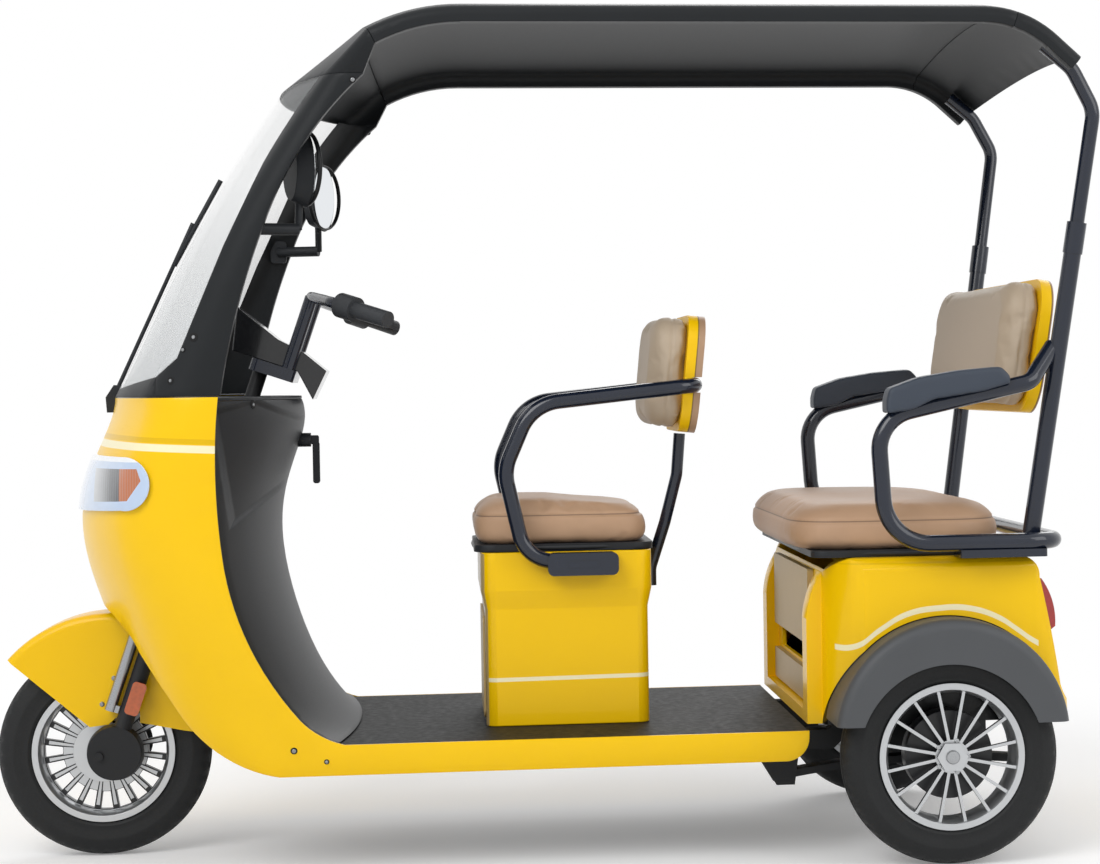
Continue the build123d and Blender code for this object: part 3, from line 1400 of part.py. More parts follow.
hoop_half = (HOOP_LOW_REAR, HOOP_LOW_FRONT, HOOP_FRONT, HOOP_TOP, HOOP_REAR)
hoop_points = [at_side(point, 1) for point in hoop_half] + [at_side(point, -1) for point in reversed(hoop_half)]
hoop_radii = [70, 90, 90, 42, 42, 90, 90, 70]
POST_TUBE_RADIUS = 12
POST_WALL_X = BOX_REAR_X - BOX_FLARE - SEAT_GAP - POST_TUBE_RADIUS
back_post_points = (
    (-303, 0, 822),
    (-296, 0, 738),
    (-270, 0, 640),
    (POST_WALL_X, 0, 548),
    (POST_WALL_X, 0, 512),
)

with BuildPart() as driver_hoop:
    add(tube(hoop_points, hoop_radii, HOOP_TUBE_RADIUS))
    add(tube(back_post_points, [70, 60, 50], POST_TUBE_RADIUS))
    for side in (1, -1):
        inner_y = BOX_HALF_WIDTH + BOX_FLARE + SEAT_GAP
        clamp_depth = HOOP_Y + HOOP_TUBE_RADIUS + 3 - inner_y
        plane = Plane(origin=(CLAMP_CENTRE_X, side * inner_y, CLAMP_CENTRE_Z), x_dir=(1, 0, 0), z_dir=(0, side, 0))
        with BuildSketch(plane):
            RectangleRounded(CLAMP_LENGTH, CLAMP_HEIGHT, 12)
        extrude(amount=clamp_depth)
        recess_length, recess_height, recess_depth = CLAMP_RECESS
        with BuildSketch(plane.offset(clamp_depth - recess_depth)):
            SlotOverall(recess_length, recess_height)
        extrude(amount=recess_depth, mode=Mode.SUBTRACT)


def back_plane(x, z, lean):
    """Plane of a backrest: local x is +Y, local y up the back, local z forward."""
    turn = radians(lean)
    return Plane(origin=(x, 0, z), x_dir=(0, 1, 0), z_dir=(cos(turn), 0, sin(turn)))


with BuildPart() as driver_back_shell:
    with BuildSketch(back_plane(BACK_SHELL_X, BACK_CENTRE_Z, BACK_LEAN)):
        RectangleRounded(2 * BACK_HALF_WIDTH, BACK_HEIGHT, BACK_CORNER)
    extrude(amount=BACK_SHELL_THICKNESS)
    groove_x = HOOP_REAR[0]
    reach = BACK_HALF_WIDTH + 10
    groove_start = (groove_x, -reach, HOOP_REAR[2])
    groove_end = (groove_x, reach, HOOP_REAR[2])
    add(straight_tube(groove_start, groove_end, HOOP_TUBE_RADIUS + SEAT_GAP), mode=Mode.SUBTRACT)
    slot_half = HOOP_TUBE_RADIUS + SEAT_GAP
    slot = block(groove_x - 40, groove_x, reach, HOOP_REAR[2] - slot_half, HOOP_REAR[2] + slot_half)
    add(slot, mode=Mode.SUBTRACT)

with BuildPart() as driver_back_pad:
    with BuildSketch(back_plane(BACK_SHELL_X, BACK_CENTRE_Z, BACK_LEAN).offset(BACK_SHELL_THICKNESS + SEAT_GAP)):
        RectangleRounded(2 * BACK_HALF_WIDTH, BACK_HEIGHT, BACK_CORNER)
    extrude(amount=BACK_PAD_THICKNESS)
    fillet(driver_back_pad.faces().sort_by(Axis.X)[-1].edges(), 26)

REAR_BACK_LEAN = 8.5
REAR_BACK_RISE = 6
rear_back_turn = radians(REAR_BACK_LEAN)
bar_reach = BACK_BAR_RADIUS + SEAT_GAP
REAR_BACK_SHELL_X = BACK_BAR_X + bar_reach * cos(rear_back_turn) - REAR_BACK_RISE * sin(rear_back_turn)
REAR_BACK_CENTRE_Z = BACK_BAR_LEVEL + bar_reach * sin(rear_back_turn) + REAR_BACK_RISE * cos(rear_back_turn)
REAR_BACK_HALF = 345
REAR_BACK_HEIGHT = 262
REAR_BACK_SHELL = 24
REAR_BACK_PAD = 62
REAR_BACK_CORNER = 72

with BuildPart() as rear_back_shell:
    with BuildSketch(back_plane(REAR_BACK_SHELL_X, REAR_BACK_CENTRE_Z, REAR_BACK_LEAN)):
        RectangleRounded(2 * REAR_BACK_HALF, REAR_BACK_HEIGHT, REAR_BACK_CORNER)
    extrude(amount=REAR_BACK_SHELL)

with BuildPart() as rear_back_pad:
    pad_plane = back_plane(REAR_BACK_SHELL_X, REAR_BACK_CENTRE_Z, REAR_BACK_LEAN)
    with BuildSketch(pad_plane.offset(REAR_BACK_SHELL + SEAT_GAP)):
        RectangleRounded(2 * REAR_BACK_HALF, REAR_BACK_HEIGHT, REAR_BACK_CORNER)
    extrude(amount=REAR_BACK_PAD)
    fillet(rear_back_pad.faces().sort_by(Axis.X)[-1].edges(), 26)

# Headlamps: D-shaped lenses that wrap the corners of the nose
LAMP_DEPTH = 9
LAMP_INNER_Y = 120

with BuildPart() as headlamps:
    add(shell_form(-LAMP_DEPTH, 300))
    add(shell_form(-SEAT_GAP, 200), mode=Mode.SUBTRACT)
    with BuildSketch(side_plane(0)):
        with BuildLine():
            Line((920, 806), (765, 804))
            ThreePointArc((765, 804), (716, 766), (772, 706))
            Line((772, 706), (920, 696))
            Line((920, 696), (920, 806))
        make_face()
    extrude(amount=CUT_REACH, both=True, mode=Mode.INTERSECT)
    add(block(300, 1000, LAMP_INNER_Y, SKIRT_BOTTOM, SHELL_TOP), mode=Mode.SUBTRACT)

# Mirrors on brackets from the pillars
MIRROR_TURN = 25
MIRROR_CENTRE = (427, 352, 1336)
MIRROR_HALF_WIDTH = 50
MIRROR_HALF_HEIGHT = 73
MIRROR_DEPTH = 30
MIRROR_BACK_TAPER = 14
MIRROR_ELBOW = (440, 372, 1222)
MIRROR_BASE = (528, 398, 1222)


def mirror_plane(side):
    turn = radians(MIRROR_TURN)
    facing = (-cos(turn), -side * sin(turn), 0)
    across = (-side * sin(turn), cos(turn), 0)
    return Plane(origin=at_side(MIRROR_CENTRE, side), x_dir=across, z_dir=facing)


with BuildPart() as mirrors:
    for side in (1, -1):
        with BuildSketch(mirror_plane(side)):
            Ellipse(MIRROR_HALF_WIDTH, MIRROR_HALF_HEIGHT)
        with BuildSketch(mirror_plane(side).offset(-MIRROR_DEPTH)):
            Ellipse(MIRROR_HALF_WIDTH - MIRROR_BACK_TAPER, MIRROR_HALF_HEIGHT - MIRROR_BACK_TAPER)
        loft()
        stem_top = (MIRROR_CENTRE[0] + 12, MIRROR_CENTRE[1], MIRROR_CENTRE[2] - MIRROR_HALF_HEIGHT + 16)
        add(straight_tube(at_side(MIRROR_ELBOW, side), at_side(stem_top, side), 7))
        add(straight_tube(at_side(MIRROR_ELBOW, side), at_side(MIRROR_BASE, side), 11))
        with BuildSketch(side_plane(side * (MIRROR_BASE[1] + 10))):
            with Locations((MIRROR_BASE[0], MIRROR_BASE[2])):
                RectangleRounded(34, 48, 8)
        extrude(amount=12, both=True)
    add(pillar_covers.part, mode=Mode.SUBTRACT)

with BuildPart() as mirror_glasses:
    for side in (1, -1):
        with BuildSketch(mirror_plane(side).offset(SEAT_GAP)):
            Ellipse(MIRROR_HALF_WIDTH - 5, MIRROR_HALF_HEIGHT - 5)
        extrude(amount=2)

# Wiper: pivot bracket on the nose, arm and blade along the glass
WIPER_Y = 60
WIPER_FOOT = (818, WIPER_Y, 928)
WIPER_TIP = (664, WIPER_Y, 1256)
BLADE_LOW = (702, WIPER_Y, 1172)
BLADE_HIGH = (608, WIPER_Y, 1340)
WIPER_ARM_RADIUS = 4
BLADE_RADIUS = 5

with BuildPart() as wiper:
    add(straight_tube(WIPER_FOOT, WIPER_TIP, WIPER_ARM_RADIUS))
    add(straight_tube(BLADE_LOW, BLADE_HIGH, BLADE_RADIUS))
    with BuildSketch(side_plane(WIPER_Y)):
        with BuildLine():
            Polyline((790, 936), (822, 938), (838, 914), (836, 884), (800, 884), close=True)
        make_face()
    extrude(amount=16, both=True)
    add(canopy_form(-SEAT_GAP), mode=Mode.SUBTRACT)
    add(shell_form(-SEAT_GAP, 200), mode=Mode.SUBTRACT)

# Ignition lock with the key and its fob
LOCK_LEVEL = 822
LOCK_RADIUS = 14

with BuildPart() as ignition_key:
    with BuildSketch(Plane(origin=(444, 0, LOCK_LEVEL), x_dir=(0, 1, 0), z_dir=(1, 0, 0))):
        Circle(LOCK_RADIUS)
    extrude(amount=50)
    with BuildSketch(side_plane(0)):
        with Locations((438, LOCK_LEVEL)):
            RectangleRounded(20, 18, 4)
        with Locations((434, LOCK_LEVEL - 46)):
            RectangleRounded(14, 84, 5)
    extrude(amount=5, both=True)
    add(leg_shield.part, mode=Mode.SUBTRACT)
    beyond = block(470, 560, 60, LOCK_LEVEL - 90, LOCK_LEVEL + 60)
    add(beyond, mode=Mode.SUBTRACT)

for name, piece in (
    ("front_tyre", front_tyre),
    ("front_rim", front_rim),
    ("fork", fork),
    ("front_shocks", front_shocks),
    ("front_fender", front_fender),
    ("handlebar", handlebar),
    ("grips", grips),
    ("instrument_pod", instrument_pod),
    ("fork_reflectors", fork_reflectors),
    ("front_shell", front_shell),
    ("leg_shield", leg_shield),
    ("dash_shelf", dash_shelf),
    ("pillar_covers", pillar_covers),
    ("cowl", cowl),
    ("windshield", windshield),
    ("front_header", front_header),
    ("roof_panel", roof_panel),
    ("rear_visor", rear_visor),
    ("canopy_frame", canopy_frame),
    ("arm_pads", arm_pads),
    ("rear_body", rear_body),
    ("bench_front_panels", bench_front_panels),
    ("fender_flares", fender_flares),
    ("tail_lamps", tail_lamps),
    ("floor_plate", floor_plate),
    ("floor_mat", floor_mat),
    ("frame_rails", frame_rails),
    ("leaf_springs", leaf_springs),
    ("rear_axle", rear_axle),
    ("rear_tyre_left", rear_tyre_left),
    ("rear_tyre_right", rear_tyre_right),
    ("rear_rim_left", rear_rim_left),
    ("rear_rim_right", rear_rim_right),
    ("rear_seat_pan", rear_seat_pan),
    ("rear_cushion", rear_cushion),
    ("seat_box", seat_box),
    ("seat_box_panel", seat_box_panel),
    ("battery_pack", battery_pack),
    ("driver_seat_pan", driver_seat_pan),
    ("driver_cushion", driver_cushion),
    ("driver_hoop", driver_hoop),
    ("driver_back_shell", driver_back_shell),
    ("driver_back_pad", driver_back_pad),
    ("rear_back_shell", rear_back_shell),
    ("rear_back_pad", rear_back_pad),
    ("headlamps", headlamps),
    ("mirrors", mirrors),
    ("mirror_glasses", mirror_glasses),
    ("wiper", wiper),
    ("ignition_key", ignition_key),
):
    piece.part.label = name
    export_step(piece.part, f"parts/{name}.step")
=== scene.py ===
"""Looks of a small electric passenger tricycle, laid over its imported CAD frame.

Every piece of the vehicle gets its finish here: glossy yellow body panels with pale stripes, grained dark
plastic, painted tubes, padded vinyl seats, treaded tyres, cast wheels, lamps, glass and fasteners.
"""

import math

import bmesh
import bpy
from bpy.props import FloatProperty, FloatVectorProperty, IntProperty, PointerProperty
from mathutils import Matrix, Vector
from mathutils.bvhtree import BVHTree


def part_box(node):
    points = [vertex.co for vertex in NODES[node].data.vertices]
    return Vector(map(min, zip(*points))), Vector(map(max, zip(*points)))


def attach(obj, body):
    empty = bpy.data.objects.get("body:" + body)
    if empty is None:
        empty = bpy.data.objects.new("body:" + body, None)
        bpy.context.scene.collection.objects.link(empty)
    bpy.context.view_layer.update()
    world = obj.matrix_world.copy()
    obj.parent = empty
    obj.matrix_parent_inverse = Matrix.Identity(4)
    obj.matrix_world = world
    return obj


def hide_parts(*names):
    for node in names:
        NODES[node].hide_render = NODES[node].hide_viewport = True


bl_info = {
    "name": "Electric tricycle dresser",
    "version": (1, 0, 0),
    "blender": (4, 5, 0),
    "location": "3D View > Sidebar > Tricycle",
    "description": "Adds finishes, tyres, padded seats, lamps and fasteners to the tricycle's frame",
    "category": "Object",
}

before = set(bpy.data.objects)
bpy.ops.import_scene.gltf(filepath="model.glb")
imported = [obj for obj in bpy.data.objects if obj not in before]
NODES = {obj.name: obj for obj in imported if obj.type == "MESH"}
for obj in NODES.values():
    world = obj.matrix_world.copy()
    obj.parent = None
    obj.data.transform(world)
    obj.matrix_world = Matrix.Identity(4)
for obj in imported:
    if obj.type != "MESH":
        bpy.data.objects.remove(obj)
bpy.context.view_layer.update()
MM = 0.001


# ---- Settings that a user may change ----


def linear(hex_colour):
    """Linear RGBA of an sRGB hex colour."""
    channels = [int(hex_colour[i : i + 2], 16) / 255 for i in (1, 3, 5)]
    return tuple(c / 12.92 if c <= 0.04045 else ((c + 0.055) / 1.055) ** 2.4 for c in channels) + (1.0,)


def colour_property(label, hint, hex_colour):
    """Colour that a user may change, given as an sRGB hex value."""
    return FloatVectorProperty(
        name=label, description=hint, subtype="COLOR", size=4, min=0, max=1, default=linear(hex_colour)
    )


def length_property(label, hint, size_mm, least_mm=0.0):
    """Length that a user may change, given in millimetres."""
    return FloatProperty(name=label, description=hint, unit="LENGTH", default=size_mm * MM, min=least_mm * MM)


class TricycleColours(bpy.types.PropertyGroup):
    """Colours of the vehicle's finishes."""

    body: colour_property("Body yellow", "Moulded body panels", "#FFCC00")
    stripe: colour_property("Stripe", "Pale stripes on the body panels", "#FDF3C8")
    canopy: colour_property("Canopy", "Roof, pillars and header", "#242628")
    trim: colour_property("Trim", "Leg shield and small plastic parts", "#2A2C2F")
    flare: colour_property("Flares", "Arches over the rear tyres", "#505255")
    tube: colour_property("Tube paint", "Canopy frame and seat hoop", "#161D2C")
    vinyl: colour_property("Seat vinyl", "Covers of cushions and backrests", "#BB987A")
    tan: colour_property("Tan panel", "Flat panels of the bench and the pedestal", "#B89F6B")
    rubber: colour_property("Tyre rubber", "Tyres", "#1D1E1F")
    mat: colour_property("Floor mat", "Ribbed mat of the deck", "#262727")
    alloy: colour_property("Wheel alloy", "Bright faces of the cast wheels", "#C3C5C7")


class TricycleSizes(bpy.types.PropertyGroup):
    """Sizes of the details that are added to the frame."""

    tread_depth: length_property("Tread depth", "Depth of the tyre's grooves", 4.5)
    tread_blocks: IntProperty(
        name="Tread blocks", description="Shoulder blocks round a tyre", default=44, min=12, max=80
    )
    rib_pitch: length_property("Mat rib pitch", "Distance between the mat's ribs", 14.0, 1.0)
    swell: length_property("Cushion swell", "Most that a padded cover may swell", 9.0)
    lip_width: length_property("Pan lip width", "Width of the dark rim under a seat", 16.0, 2.0)
    lip_height: length_property("Pan lip height", "Height of the dark rim under a seat", 13.0, 2.0)


def settings():
    return bpy.context.scene.tricycle_colours, bpy.context.scene.tricycle_sizes


# ---- Shader trees: patterns, masks and colours, placed in the vehicle's own frame ----

# Most of a noise pattern's values lie between these two
NOISE_LOW = 0.3
NOISE_HIGH = 0.7
# Half the width of the blur at the edge of a painted line
SOFT_EDGE = 0.4 * MM


def add_node(tree, kind, inputs=None, **options):
    """Adds one shader node. A socket in inputs takes a value, an output, or a node's first output."""
    made = tree.nodes.new("ShaderNode" + kind)
    for name, value in options.items():
        setattr(made, name, value)
    for socket, value in (inputs or {}).items():
        if isinstance(value, bpy.types.Node):
            value = value.outputs[0]
        if isinstance(value, bpy.types.NodeSocket):
            tree.links.new(value, made.inputs[socket])
        else:
            made.inputs[socket].default_value = value
    return made


def start_material(name):
    """Empty node material and its shader tree."""
    material = bpy.data.materials.new(name)
    material.use_nodes = True
    tree = material.node_tree
    tree.nodes.clear()
    return material, tree


def closed(material, look):
    """Ends a material in one principled shader with the inputs in look."""
    tree = material.node_tree
    shader = add_node(tree, "BsdfPrincipled", look)
    add_node(tree, "OutputMaterial", {"Surface": shader})
    return material


def row_place(tree):
    """Place of a point at rest, so that grain and marks stay put on a piece that moves."""
    return add_node(tree, "TexCoord").outputs["Object"]


def row_axes(tree):
    """X, Y and Z of a point at rest, for marks that sit at a real place."""
    return add_node(tree, "SeparateXYZ", {0: row_place(tree)}).outputs


def facing_axes(tree):
    """X, Y and Z of the direction in which a surface faces."""
    return add_node(tree, "SeparateXYZ", {0: add_node(tree, "NewGeometry").outputs["Normal"]}).outputs


def grain(tree, size_mm, detail=3.0):
    """Noise whose grains are about size_mm across."""
    return add_node(
        tree,
        "TexNoise",
        {"Vector": row_place(tree), "Scale": 1000.0 / size_mm, "Detail": detail, "Roughness": 0.55},
    )


def surface(tree, matt, low, high, relief, strength, depth_mm):
    """Shader inputs: roughness from low to high along one pattern, and a relief from another."""
    rough = add_node(
        tree,
        "MapRange",
        {"Value": matt, "From Min": NOISE_LOW, "From Max": NOISE_HIGH, "To Min": low, "To Max": high},
    )
    raised = add_node(tree, "Bump", {"Height": relief, "Strength": strength, "Distance": depth_mm * MM})
    return {"Roughness": rough, "Normal": raised}


def shade(colour, factor):
    """A colour made darker or lighter, alpha kept."""
    return tuple(min(1.0, c * factor) for c in colour[:3]) + (1.0,)


def painted(tree, base, *layers):
    """Colour with others laid over it in turn, each a pair of the colour and the mask that shows it."""
    for colour, mask in layers:
        base = add_node(tree, "Mix", {"Factor": mask, 6: base, 7: colour}, data_type="RGBA").outputs[2]
    return base


def all_of(tree, *masks):
    """Mask that is 1 only where each of the masks is. A number among them weakens the whole."""
    whole = masks[0]
    for mask in masks[1:]:
        whole = add_node(tree, "Math", {0: whole, 1: mask}, operation="MULTIPLY")
    return whole


def any_of(tree, *masks):
    """Greatest of some masks or distances."""
    whole = masks[0]
    for mask in masks[1:]:
        whole = add_node(tree, "Math", {0: whole, 1: mask}, operation="MAXIMUM")
    return whole


def between(tree, value, low=None, high=None):
    """Mask of what lies over low and under high, where they are given."""
    masks = []
    if low is not None:
        masks.append(add_node(tree, "Math", {0: value, 1: low}, operation="GREATER_THAN"))
    if high is not None:
        masks.append(add_node(tree, "Math", {0: value, 1: high}, operation="LESS_THAN"))
    return all_of(tree, *masks)


def away_from(tree, value, centre):
    """Distance of a value from a centre, on either side of it."""
    offset = add_node(tree, "Math", {0: value, 1: centre}, operation="SUBTRACT")
    return add_node(tree, "Math", {0: offset}, operation="ABSOLUTE")


def band(tree, value, centre, half):
    """Mask of what lies within half of centre, with a soft edge."""
    return add_node(
        tree,
        "MapRange",
        {
            "Value": away_from(tree, value, centre),
            "From Min": half - SOFT_EDGE,
            "From Max": half + SOFT_EDGE,
            "To Min": 1.0,
            "To Max": 0.0,
        },
    )


def flank(tree, axes, low=None, high=None):
    """Mask by the distance from the middle plane, the same on both sides."""
    return between(tree, away_from(tree, axes["Y"], 0.0), low, high)


def sloped_line(tree, axes, slope, height, half):
    """Mask of a line along the side, at a height over X = 0 and rising by slope towards the front."""
    middle = add_node(tree, "Math", {0: axes["X"], 1: slope, 2: height}, operation="MULTIPLY_ADD")
    offset = add_node(tree, "Math", {0: axes["Z"], 1: middle}, operation="SUBTRACT")
    return band(tree, offset, 0.0, half)


def distance_from(tree, axes, x, z):
    """Distance from a line along Y through x, z."""
    dx = add_node(tree, "Math", {0: axes["X"], 1: x}, operation="SUBTRACT")
    dz = add_node(tree, "Math", {0: axes["Z"], 1: z}, operation="SUBTRACT")
    square = all_of(tree, dz, dz)
    square = add_node(tree, "Math", {0: dx, 1: dx, 2: square}, operation="MULTIPLY_ADD")
    return add_node(tree, "Math", {0: square}, operation="SQRT")


def depth_along(tree, axes, plane):
    """Distance in front of a plane, given as a point of it in X and Z and its lean back in degrees."""
    (x, z), lean = plane
    turn = math.radians(lean)
    dx = add_node(tree, "Math", {0: axes["X"], 1: x}, operation="SUBTRACT")
    dz = add_node(tree, "Math", {0: axes["Z"], 1: z}, operation="SUBTRACT")
    depth = all_of(tree, dx, math.cos(turn))
    return add_node(tree, "Math", {0: dz, 1: math.sin(turn), 2: depth}, operation="MULTIPLY_ADD")


def beyond_corners(tree, axes, corners):
    """Distance outside a convex shape in the XZ plane, negative inside it."""
    sides = []
    for (x0, z0), (x1, z1) in zip(corners, corners[1:] + corners[:1]):
        length = math.hypot(x1 - x0, z1 - z0)
        nx, nz = (z1 - z0) / length, -(x1 - x0) / length
        start = -(x0 * nx + z0 * nz)
        away = add_node(tree, "Math", {0: axes["X"], 1: nx, 2: start}, operation="MULTIPLY_ADD")
        sides.append(add_node(tree, "Math", {0: axes["Z"], 1: nz, 2: away}, operation="MULTIPLY_ADD"))
    return any_of(tree, *sides)


def plain_finish(name, colour, roughness, grain_mm, relief, metallic=0.0, coat=0.0, drift=0.12, gloss=0.32):
    """Finish of one colour that drifts slowly, with grain in its relief and roughness that varies."""
    material, tree = start_material(name)
    fine = grain(tree, grain_mm)
    broad = grain(tree, 180.0, detail=2.0)
    look = {
        "Base Color": painted(tree, shade(colour, 1 - drift), (shade(colour, 1 + drift), broad)),
        "Metallic": metallic,
        "Coat Weight": coat,
        "Coat Roughness": 0.06,
        "Specular IOR Level": 0.5 if metallic else gloss,
    }
    look |= surface(tree, fine, roughness - 0.04, roughness + 0.05, fine, relief, grain_mm * 0.12)
    return closed(material, look)


# ---- Pieces: dressing CAD nodes and making new ones ----


def dress(names, material, bevel_mm=0.0, segments=2):
    """Gives CAD nodes a finish and, with a bevel, softens their sharp edges a little."""
    for name in names:
        node = NODES[name]
        node.data.materials.clear()
        node.data.materials.append(material)
        if bevel_mm:
            weld = node.modifiers.new("weld", "WELD")
            weld.merge_threshold = 0.02 * MM
            soft = node.modifiers.new("edge", "BEVEL")
            soft.width = bevel_mm * MM
            soft.segments = segments
            soft.limit_method = "ANGLE"
            soft.angle_limit = math.radians(35)
            soft.use_clamp_overlap = True
            soft.harden_normals = True


def new_piece(name, mesh, body, material, smooth=True):
    """Object from a mesh, riding on a body with one finish."""
    piece = bpy.data.objects.new(name, mesh)
    bpy.context.scene.collection.objects.link(piece)
    mesh.materials.append(material)
    if smooth:
        shade_smooth(mesh)
    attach(piece, body)
    return piece


def shade_smooth(mesh):
    mesh.polygons.foreach_set("use_smooth", [True] * len(mesh.polygons))


def mesh_from(name, bm):
    """Mesh of a finished form."""
    mesh = bpy.data.meshes.new(name)
    bm.to_mesh(mesh)
    bm.free()
    return mesh


def turns(count):
    """Even angles round a full turn."""
    return [math.tau * i / count for i in range(count)]


def held(value, low, high):
    """The value, kept between two others."""
    return min(max(value, low), high)


def skin(bm, rings, joined=True):
    """Faces between neighbouring rings of points, and between the last ring and the first where joined."""
    for near, far in zip(rings, rings[1:] + (rings[:1] if joined else [])):
        for i in range(len(near)):
            j = (i + 1) % len(near)
            bm.faces.new((near[i], near[j], far[j], far[i]))


def lathed(bm, place, normal, profile, steps=20):
    """Small turned form that stands on a surface: profile holds (radius, height) rows, tip last."""
    turn = Vector(normal).to_track_quat("Z", "Y").to_matrix()
    rings = []
    for radius, height in profile:
        spots = [Vector((radius * math.cos(a), radius * math.sin(a), height)) for a in turns(steps)]
        rings.append([bm.verts.new(place + turn @ spot) for spot in spots])
    skin(bm, rings, joined=False)
    bm.faces.new(rings[-1])


def spun(bm, centre, section, steps, sink):
    """Revolves a closed section of (radius, across) rows about a line along Y; sink lowers its points."""
    rings = []
    for step, turn in enumerate(turns(steps)):
        ring = []
        for k, (radius, across) in enumerate(section):
            reach = radius - sink(step, k)
            spot = Vector((reach * math.cos(turn), across, reach * math.sin(turn)))
            ring.append(bm.verts.new(Vector(centre) + spot))
        rings.append(ring)
    skin(bm, rings)
    bmesh.ops.recalc_face_normals(bm, faces=bm.faces)


def bead(name, path, wide, tall, steps):
    """Closed bead of oval section along a path of (place, outward, up) rows."""
    bm = bmesh.new()
    rings = []
    for place, out, up in path:
        section = [out * wide * math.cos(a) + up * tall * math.sin(a) for a in turns(steps)]
        rings.append([bm.verts.new(place + spot) for spot in section])
    skin(bm, rings)
    bmesh.ops.recalc_face_normals(bm, faces=bm.faces)
    return mesh_from(name, bm)


def surface_under(name, origin, direction):
    """Place and outward normal where a ray first meets a CAD node."""
    mesh = NODES[name].data
    tree = BVHTree.FromPolygons([v.co for v in mesh.vertices], [tuple(p.vertices) for p in mesh.polygons])
    place, normal, _, _ = tree.ray_cast(Vector(origin), Vector(direction))
    if place is None:
        raise RuntimeError("no surface of " + name + " under " + str(tuple(origin)))
    return place, normal if normal.dot(Vector(direction)) < 0 else -normal


# ---- Body panels ----

# The nose's lines fall by this share of X towards the rear, and end at this X
NOSE_SLOPE = 0.049
NOSE_REAR = 0.40
# Distance from the middle plane beyond which a mark shows on the sides only
SIDE_FACE = 0.36
# Pale line over the wheel arch, X and Z in metres, and the stretch of it that is painted
ARCH_STRIPE = (
    (-1.02, 0.385),
    (-0.936, 0.424),
    (-0.905, 0.446),
    (-0.872, 0.468),
    (-0.814, 0.488),
    (-0.756, 0.490),
    (-0.688, 0.478),
    (-0.640, 0.451),
    (-0.592, 0.419),
    (-0.551, 0.418),
)
ARCH_STRIPE_ENDS = (-0.947, -0.552)
BODY_SEAM_X = -0.541
# Upright and level edge of the raised side panel: X of one and Z of the other
PANEL_EDGE = (-0.5535, 0.5765)
# Wheel well painted near black as shade: X and Z of its middle, its radius, and how far out it reaches
WHEEL_WELL = (-0.768, 0.250, 0.226, 0.475)


def body_finish(name, colours, marks=()):
    """Injection-moulded ABS: even colour, high gloss, a faint waviness that softens reflections.

    marks holds pairs of a mask function and the colour it paints, laid one over the other.
    """
    material, tree = start_material(name)
    wave = grain(tree, 26.0, detail=1.5)
    fine = grain(tree, 1.6, detail=2.0)
    base = painted(tree, shade(colours.body, 0.94), (shade(colours.body, 1.02), grain(tree, 240.0)))
    look = {
        "Base Color": painted(tree, base, *((colour, mask(tree)) for mask, colour in marks)),
        "Coat Weight": 0.15,
        "Coat Roughness": 0.05,
        "Specular IOR Level": 0.22,
    }
    return closed(material, look | surface(tree, fine, 0.27, 0.33, wave, 0.10, 1.2))


def nose_stripe(tree):
    """Pale line round the nose, just over the headlamps, falling a little towards the rear."""
    axes = row_axes(tree)
    line = sloped_line(tree, axes, NOSE_SLOPE, 0.7868, 7.0 * MM)
    return all_of(tree, line, between(tree, axes["X"], low=NOSE_REAR))


def nose_crease_shade(tree):
    """Painted shade in the fold of the shell just over its pale line, deepest in its middle."""
    axes = row_axes(tree)
    line = sloped_line(tree, axes, NOSE_SLOPE, 0.8005, 5.0 * MM)
    return all_of(tree, line, between(tree, axes["X"], low=NOSE_REAR), line, 0.45)


def nose_joint(tree):
    """Dark gap where the shell meets the cowl and the leg shield."""
    axes = row_axes(tree)
    return all_of(tree, between(tree, axes["Z"], low=0.9125), between(tree, axes["X"], low=NOSE_REAR))


def pedestal_stripe(tree):
    """Thin pale line round the foot of the pedestal."""
    return sloped_line(tree, row_axes(tree), -0.0094, 0.3479, 4.0 * MM)


def pedestal_front(tree):
    """Front face of the pedestal, which is tan like the panel let into it."""
    ahead = between(tree, facing_axes(tree)["X"], low=0.75)
    return all_of(tree, ahead, between(tree, row_axes(tree)["X"], low=0.04))


def arch_stripe(tree):
    """Pale line that follows the wheel arch on each side of the rear body."""
    axes = row_axes(tree)
    low, high = ARCH_STRIPE[0][0], ARCH_STRIPE[-1][0]
    share = add_node(tree, "MapRange", {"Value": axes["X"], "From Min": low, "From Max": high})
    line = add_node(tree, "FloatCurve", {"Value": share})
    curve = line.mapping.curves[0]
    points = [((x - low) / (high - low), z) for x, z in ARCH_STRIPE]
    curve.points[0].location = points[0]
    curve.points[1].location = points[-1]
    for point in points[1:-1]:
        curve.points.new(*point)
    line.mapping.update()
    offset = add_node(tree, "Math", {0: axes["Z"], 1: line}, operation="SUBTRACT")
    ends = between(tree, axes["X"], *ARCH_STRIPE_ENDS)
    return all_of(tree, band(tree, offset, 0.0, 5.5 * MM), ends, flank(tree, axes, low=SIDE_FACE))


def body_seam(tree):
    """Dark parting line between the front frame of the rear body and its side."""
    axes = row_axes(tree)
    return all_of(tree, band(tree, axes["X"], BODY_SEAM_X, 1.4 * MM), flank(tree, axes, low=0.313))


def panel_edge_shade(tree):
    """Painted shade along the edge of the raised panel behind the parting line and under the seat."""
    axes = row_axes(tree)
    upright = all_of(tree, band(tree, axes["X"], PANEL_EDGE[0], 1.6 * MM), between(tree, axes["Z"], high=0.570))
    level = all_of(tree, band(tree, axes["Z"], PANEL_EDGE[1], 1.6 * MM), between(tree, axes["X"], high=-0.565))
    return all_of(tree, any_of(tree, upright, level), 0.35, flank(tree, axes, low=SIDE_FACE))


def wheel_well_shade(tree):
    """Painted shade inside the wheel well: near black, since the well stays in the dark."""
    axes = row_axes(tree)
    x, z, radius, out = WHEEL_WELL
    inside = between(tree, distance_from(tree, axes, x, z), high=radius)
    return all_of(tree, inside, flank(tree, axes, high=out))


